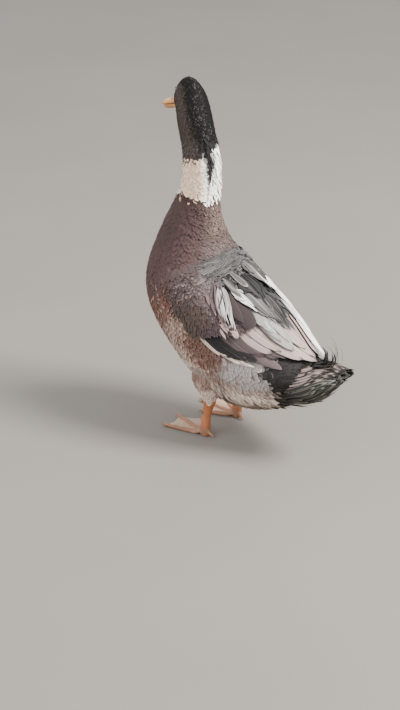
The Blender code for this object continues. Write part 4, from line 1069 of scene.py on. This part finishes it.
def lid_ring(side, low, high, steps=40):
    """A lid: a tube along an arc round the eye, just over the ball, drawn in to the iris and thick in its
    middle by the arc's sine, and thin at the corners."""
    middle, out = eye_axis(side)
    _, tangent, *_ = body.frame(EYE_STATION)
    ahead = unit(tangent - out * (tangent @ out))
    up = np.cross(out, ahead)
    up = up * np.sign(up[2])
    t = np.radians(np.linspace(low, high, steps))[:, None]
    bulge = np.sin(np.pi * np.linspace(0, 1, steps))[:, None]
    radius = EYE_RADIUS * (0.93 - 0.10 * bulge * (1 if high <= 180 else 0.6))
    depth = np.sqrt(np.maximum((EYE_RADIUS + LID_GAP) ** 2 - radius**2, 0)) + LID_GAP
    line = middle + out * depth + ahead * radius * np.cos(t) + up * radius * np.sin(t)
    outer = unit(line - middle)
    other = np.cross(unit(np.gradient(line, axis=0)), outer)
    p = np.linspace(0, 2 * np.pi, 14, endpoint=False)[None, :, None]
    ring = outer[:, None] * np.cos(p) + LID_BREADTH * other[:, None] * np.sin(p)
    return tube(line[:, None] + ring * (LID_THICKNESS * (0.35 + 0.65 * bulge))[:, None])


for word, side in SIDES.items():
    middle, out = eye_axis(side)
    eyeball = Finish(f"eye {word}")
    offset = eyeball.node("ShaderNodeVectorMath", {"operation": "SUBTRACT"}, [eyeball.place(), middle])
    toward = eyeball.node("ShaderNodeVectorMath", {"operation": "DOT_PRODUCT"}, [offset, out], "Value")
    away = (EYE_RADIUS**2 - toward * toward).maths("MAXIMUM", 0.0).maths("SQRT") * 1000
    brown = eyeball.mix(eyeball.noise(1800, 2), [0.030, 0.012, 0.006], [0.085, 0.034, 0.014])
    colour = eyeball.mix(((away - PUPIL_RADIUS) * 4).clamped(), [0.002, 0.002, 0.002], brown)
    colour = eyeball.mix(((away - IRIS_RADIUS) * 3).clamped(), colour, [0.010, 0.008, 0.007])
    dressed(ball(f"eyeball_{word}", middle, np.eye(3) * EYE_RADIUS, 64, 48),
            eyeball.done(Base_Color=colour, Roughness=0.12, Coat_Weight=1.0, Coat_Roughness=0.03),
            "eye", f"eye_{word}")
    lid_material = mottled(f"lid {word}", 2600, [0.016, 0.014, 0.013], [0.05, 0.044, 0.040], 0.0002, 0.6, 0.5)
    for label, low, high in (("upper", 0, 180), ("lower", 180, 360)):
        dressed(put(f"lid_{label}_{word}", *lid_ring(side, low, high)), lid_material, "dark_head")

# The bill: two horny sheaths over the jaws, flat and wide at the end with a harder nail at the tip, and open
# nostrils near the face. Grooves for the comb of the rim run along the upper one's edge.

BILL_LENGTH, BILL_BASE_HALF, BILL_WIDER, BILL_GAP, BILL_RISE = 0.051, 0.0112, 0.0022, 0.0003, 0.0035
UPPER_HEIGHTS, LOWER_HEIGHTS = (0.0108, 0.0074), (0.0084, 0.0056)
LOWER_SHARE, LOWER_DROP = (0.88, 0.965), 0.0018
NOSTRIL_PLACE, NOSTRIL_AXES = (0.0155, 0.0084, 0.0064), (0.0036, 0.0022, 0.0012)


def bill_rings(upper, shares, sides=56):
    """Rings across the bill: width and height are blended from the face to the spatula, both drawn in as a
    circle's edge over the last tenth, and the rim keeps the lower jaw inside the upper."""
    centre, tangent, up, left, *_ = body.frame(16.0)
    share = np.asarray(shares)[:, None]
    end = np.clip((share - 0.90) / 0.10, 0, 1)
    width = (BILL_BASE_HALF + BILL_WIDER * ramp(share, 0.2, 0.7)) * np.sqrt(1.001 - end**4)
    angle = np.linspace(0, 2 * np.pi, sides, endpoint=False)[None, :]
    slope = BILL_RISE * share + 0.0004 * end**2
    crest, length = np.sin(angle), BILL_LENGTH
    first, last = UPPER_HEIGHTS if upper else LOWER_HEIGHTS
    height = (first + (last - first) * ramp(share, 0, 0.6)) * (1 - 0.5 * end**2)
    if upper:
        groove = 1 - 0.10 * np.exp(-(((np.abs(np.cos(angle)) - 0.86) / 0.08) ** 2)) * ramp(share, 0.3, 0.5)
        rise = np.where(crest > 0, height * crest * groove, 0.0012 * crest)
        nail = np.exp(-(((share - 0.965) / 0.045) ** 2) - (np.cos(angle) / 0.42) ** 2)
        rise = rise + 0.0006 * nail * (crest > 0)
    else:
        width, length = width * LOWER_SHARE[0], length * LOWER_SHARE[1]
        rise = np.where(crest < 0, height * crest, -0.0002 * crest) - LOWER_DROP
    middle = centre + tangent * (BILL_GAP + share * length)[..., None] + up * slope[..., None]
    return middle + left * (width * np.cos(angle))[..., None] + up * rise[..., None]


def nostril(side):
    """A slanting oval hole through the side of the upper bill: an egg at a place ahead, aside and above."""
    centre, tangent, up, left, *_ = body.frame(16.0)
    ahead, aside, above = NOSTRIL_PLACE
    axes = np.array([tangent, left, up]) * np.reshape(NOSTRIL_AXES, (3, 1))
    return ball("nostril", centre + tangent * ahead + up * above + left * side * aside, axes, 24, 16)


horn = Finish("bill horn")
mottle, fine = horn.noise(160, 4), horn.noise(1500, 3)
horn_colour = horn.mix(mottle.maths("POWER", 1.5), paint(222, 142, 58), paint(230, 164, 84))
horn_colour = horn.mix(((fine - 0.62) * 6).clamped() * 0.5, horn_colour, paint(150, 104, 62))
horn_material = horn.done(Base_Color=horn_colour, Normal=horn.bump(fine, 0.00015), Roughness=0.42,
                          Coat_Weight=0.15)
shares = 1 - (1 - np.linspace(0, 1, 46)) ** 1.5
shares[-1] = 0.9995
upper_bill = put("upper_bill", *tube(bill_rings(True, shares)))
fused(upper_bill, [nostril(1), nostril(-1)], "DIFFERENCE")
upper_bill.data.set_sharp_from_angle(angle=np.radians(60))
dressed(upper_bill, horn_material, "bill", "bill_upper")
dressed(put("lower_bill", *tube(bill_rings(False, shares))), horn_material, "bill", "bill_lower")

# The legs: bare scaled skin from the hock to the toes, which are joined by thin webs and lie flat on the
# floor. Each leg is one skin with plates across its front and fine scales elsewhere, and has claws of horn.

HOCK_HEIGHT, ANKLE_HEIGHT = 0.058, 0.013
HOCK_FORWARD, ANKLE_FORWARD = -0.006, 0.002
SHANK_RADII = ([0, 0.003, 0.008, 0.013, 0.019, 0.028, 0.038, 0.047, 0.054, 0.058],
               [0.0048, 0.0060, 0.0066, 0.0065, 0.0058, 0.0049, 0.0051, 0.0064, 0.0079, 0.0077])
SHANK_PLATE, TOE_PLATE, LEG_VOXEL = 0.0030, 0.0024, 0.00055
TOE_RADIUS, TOE_NARROWS, TOE_LEVEL = 0.0043, 0.0016, 0.0028
CLAW_RADIUS, CLAW_LENGTH, WEB_HALF, WEB_LEVELS = 0.0020, 0.0080, 0.0006, (0.0055, 0.0016)
TOE_IN = {"left": 18, "right": -6}
Toe = namedtuple("Toe", "spread length joints")
TOES = [Toe(-34, 0.050, 2), Toe(0, 0.068, 3), Toe(34, 0.063, 4)]


def rod(centres, radii, sides=20, flatten=1.0):
    """A round rod: rings of radius r about each centre, level on an upright rod and square to it on others."""
    along = unit(np.gradient(centres, axis=0))
    if np.abs(along[:, 2]).min() > 0.7:
        level, rise = np.tile([0.0, 1, 0], (len(centres), 1)), np.tile([1.0, 0, 0], (len(centres), 1))
    else:
        level = unit(np.cross(along, [0.0, 0, 1]))
        rise = unit(np.cross(level, along))
    p = np.linspace(0, 2 * np.pi, sides, endpoint=False)[None, :, None]
    ring = level[:, None] * np.cos(p) + flatten * rise[:, None] * np.sin(p)
    return tube(centres[:, None] + ring * radii[:, None, None])


def toe_line(toe, share):
    """A toe's middle line: straight out at its spread, closing a little, and down to the floor."""
    share = np.asarray(share, float)
    angle = np.radians(toe.spread * (1 - 0.12 * share))
    top = ANKLE_HEIGHT * 0.55
    height = top + (TOE_LEVEL - top) * ramp(share, 0, 0.3)
    return np.stack([toe.length * share * np.cos(angle), toe.length * share * np.sin(angle), height], -1)


def toe_rod(toe):
    """A toe: its radius falls evenly, swells at each joint by a cosine and ripples over the plates."""
    share = np.linspace(0, 1, 60)
    knuckle = 0.5 + 0.5 * np.cos(2 * np.pi * toe.joints * share)
    plates = 1 + 0.035 * np.cos(2 * np.pi * share * toe.length / TOE_PLATE)
    radius = (TOE_RADIUS - TOE_NARROWS * share) * (0.86 + 0.14 * knuckle) * plates
    return rod(toe_line(toe, share), radius, 24, 0.92)


def claw_rod(toe):
    """A short curved claw: its radius falls to a fifth and its line humps and dips by a sine."""
    share = np.linspace(0, 1, 16)
    tip = toe_line(toe, 1.0)
    way = unit(tip - toe_line(toe, 0.9))
    centres = tip - way * 0.0016 + way * (share * CLAW_LENGTH)[:, None]
    centres[:, 2] += 0.0012 * np.sin(np.pi * share) - 0.0006 * share
    return rod(centres, CLAW_RADIUS * (1 - 0.85 * share**1.4), 16)


def web_sheet(first, second):
    """The skin between two toes: straight lines between like shares of them, hollowed at the front edge as
    1 - 0.10 sin, pleated by a cosine, and closed as a thin plate with an upper and a lower side."""
    share, across = np.linspace(0.05, 0.97, 40)[:, None], np.linspace(0, 1, 26)
    grid = between(toe_line(first, share), toe_line(second, share), across[:, None])
    grid[..., :2] *= (1 - 0.10 * np.sin(np.pi * across))[:, None]
    pleat = 0.00022 * np.cos(2 * np.pi * 4 * across) * np.sin(np.pi * across)
    grid[..., 2] = WEB_LEVELS[0] + (WEB_LEVELS[1] - WEB_LEVELS[0]) * ramp(share, 0, 0.35) + pleat
    return tube(np.concatenate([grid + (0, 0, WEB_HALF), grid[:, ::-1] - (0, 0, WEB_HALF)], 1))


def hind_rod():
    """The small hind toe: a straight rod, back and down, that tapers to two fifths."""
    share = np.linspace(0, 1, 20)
    return rod(np.c_[-0.003 - 0.012 * share, -0.004 * share, 0.0085 - 0.0065 * share**1.3],
               0.0034 * (1 - 0.6 * share), 16)


def foot_marks(points, word):
    """For points of a leg: how much each is web, and its distance down the nearest toe in millimetres."""
    side = SIDES[word]
    own = turned(points - Form.shift - (ANKLE_FORWARD, LEGS[word], 0), np.radians(side * TOE_IN[word]))
    own[:, 1] *= side
    share = np.linspace(0, 1.05, 60)
    lines = np.array([toe_line(toe, share)[:, :2] for toe in TOES])
    gaps = np.linalg.norm(own[:, None, None, :2] - lines[None], axis=-1).reshape(len(own), -1)
    nearest = gaps.argmin(1)
    down = share[nearest % 60] * np.array([toe.length for toe in TOES])[nearest // 60]
    web = ramp(gaps.min(1), 0.0030, 0.0046) * (own[:, 2] < 0.009) * (own[:, 0] > 0.002)
    return np.c_[web, down * 1000, 0 * down]


def set_down(shape, word):
    """Turns a shape in the foot's own frame by the toe-in, mirrors it for the right foot and sets it down."""
    (x, y, z), side = shape[0].T, SIDES[word]
    placed = turned(np.stack([x, y * side, np.maximum(z, 0.0)], -1), np.radians(-side * TOE_IN[word]))
    return placed + (ANKLE_FORWARD, LEGS[word], 0) + Form.shift, shape[1]


scaled = Finish("leg scales")
where = scaled.place()
leg_high = scaled.parts(where)[2] * 1000
web, toe_down, _ = scaled.parts(scaled.attribute("foot", "Vector"))
scales = scaled.node("ShaderNodeTexVoronoi", {"feature": "DISTANCE_TO_EDGE"}, {"Vector": where, "Scale": 560.0})
blotch, fine_skin = scaled.noise(110, 3), scaled.noise(1400, 3)
on_foot = ((15 - leg_high) * 0.3).clamped()
plates = (leg_high * (1 - on_foot) + toe_down * on_foot) * (2 * np.pi / 2.6)
ridge = (plates.maths("SINE") * 0.5 + 0.5).maths("POWER", 0.35)
relief = ridge * (1 - web) + (scales * 9.0).maths("MINIMUM", 1.0) * 0.7
shank_colour, toe_colour, web_colour = (scaled.mix(blotch, dark, pale) for dark, pale in (
    (paint(176, 96, 54), paint(214, 134, 82)), (paint(146, 96, 66), paint(190, 140, 104)),
    (paint(206, 164, 134), paint(230, 198, 168))))
leg_colour = scaled.mix(web, scaled.mix(on_foot, shank_colour, toe_colour), web_colour)
crease = (1 - relief) * 0.4 + (fine_skin - 0.5) * 0.3
leg_colour = scaled.mix(crease.maths("MAXIMUM", 0.0), leg_colour, paint(96, 56, 38))
leg_material = scaled.done(Base_Color=leg_colour, Normal=scaled.bump(relief + fine_skin * 0.3, 0.0005),
                           Roughness=0.52)

claw_material = mottled("claw horn", 900, paint(120, 92, 70), paint(178, 146, 112), 0.0001, 0.5, 0.35)

for word, across in LEGS.items():
    heights = np.linspace(HOCK_HEIGHT, 0.0, 90)
    radii = np.interp(heights, *SHANK_RADII) * (1 + 0.022 * np.cos(2 * np.pi * heights / SHANK_PLATE))
    share = np.clip((HOCK_HEIGHT - heights) / (HOCK_HEIGHT - ANKLE_HEIGHT), 0, 1)
    forward = HOCK_FORWARD + (ANKLE_FORWARD - HOCK_FORWARD) * share
    points, faces = rod(np.c_[forward, np.full(90, across), heights], radii, 40, 1.2)
    leg = put(f"leg_{word}", points + Form.shift, faces)
    parts = [toe_rod(toe) for toe in TOES] + [hind_rod()] + [web_sheet(a, b) for a, b in zip(TOES, TOES[1:])]
    fused(leg, [put("part", *set_down(part, word)) for part in parts])
    remesh = leg.modifiers.new("one skin", "REMESH")
    remesh.mode, remesh.voxel_size = "VOXEL", LEG_VOXEL
    smooth = leg.modifiers.new("soften", "SMOOTH")
    smooth.factor, smooth.iterations = 0.5, 3
    applied(leg)
    store(leg.data, "foot", foot_marks(spots_of(leg.data), word))
    dressed(leg, leg_material, "leg", f"shank_{word}", f"foot_{word}")
    for number, toe in enumerate(TOES):
        dressed(put(f"claw_{number}_{word}", *set_down(claw_rod(toe), word)), claw_material, "leg")

# The setting: a pale floor, soft light from above and to the right, and the camera at the photo's place.
# The floor is a flat sheet of four tiles with a matt, faintly clouded finish.

FLOOR_REACH, SENSOR, FOCAL_PIXELS, FRAME_HEIGHT = 6, 36, 1776, 710
CAMERA_PLACE, CAMERA_VIEW = (-1.34268692, 1.77343485, 1.14584963), (0.55797879, -0.71418028, -0.42261826)
AIM = (0, 0, 0.2)

x, y = np.meshgrid(*[np.linspace(-FLOOR_REACH, FLOOR_REACH, 3)] * 2, indexing="ij")
tiles = [[a * 3 + b, a * 3 + b + 3, a * 3 + b + 4, a * 3 + b + 1] for a in range(2) for b in range(2)]
ground = bpy.data.meshes.new("floor")
ground.from_pydata(np.stack([x, y, 0 * x], -1).reshape(-1, 3).tolist(), [], tiles)
matt = Finish("floor")
cloud = matt.mix(matt.noise(3, 2), [0.150, 0.134, 0.117], [0.176, 0.158, 0.139])
ground.materials.append(matt.done(Base_Color=cloud, Roughness=0.9))
in_scene("floor", ground)

lens = bpy.data.cameras.new("camera")
lens.lens, lens.sensor_width = SENSOR * FOCAL_PIXELS / FRAME_HEIGHT, SENSOR
camera = in_scene("camera", lens)
camera.location = Vector(CAMERA_PLACE) + Vector(Form.shift)
camera.rotation_euler = Vector(CAMERA_VIEW).to_track_quat("-Z", "Y").to_euler()
bpy.context.scene.camera = camera

for name, place, size, power, colour in (("key", (-1.8, -0.7, 2.4), 1.0, 285, (1.0, 0.98, 0.94)),
                                         ("fill", (0.6, 2.6, 1.8), 2.4, 72, (0.98, 0.98, 1.0))):
    lamp = bpy.data.lights.new(name, "AREA")
    lamp.size, lamp.energy, lamp.color = size, power, colour
    light = in_scene(name, lamp)
    light.location = place
    light.rotation_euler = (Vector(AIM) - Vector(place)).to_track_quat("-Z", "Y").to_euler()

sky = bpy.data.worlds.new("sky")
sky.use_nodes = True
air = sky.node_tree.nodes["Background"].inputs
air["Color"].default_value, air["Strength"].default_value = (0.97, 0.975, 1.0, 1), 1.6
bpy.context.scene.world = sky

bpy.context.view_layer.update()
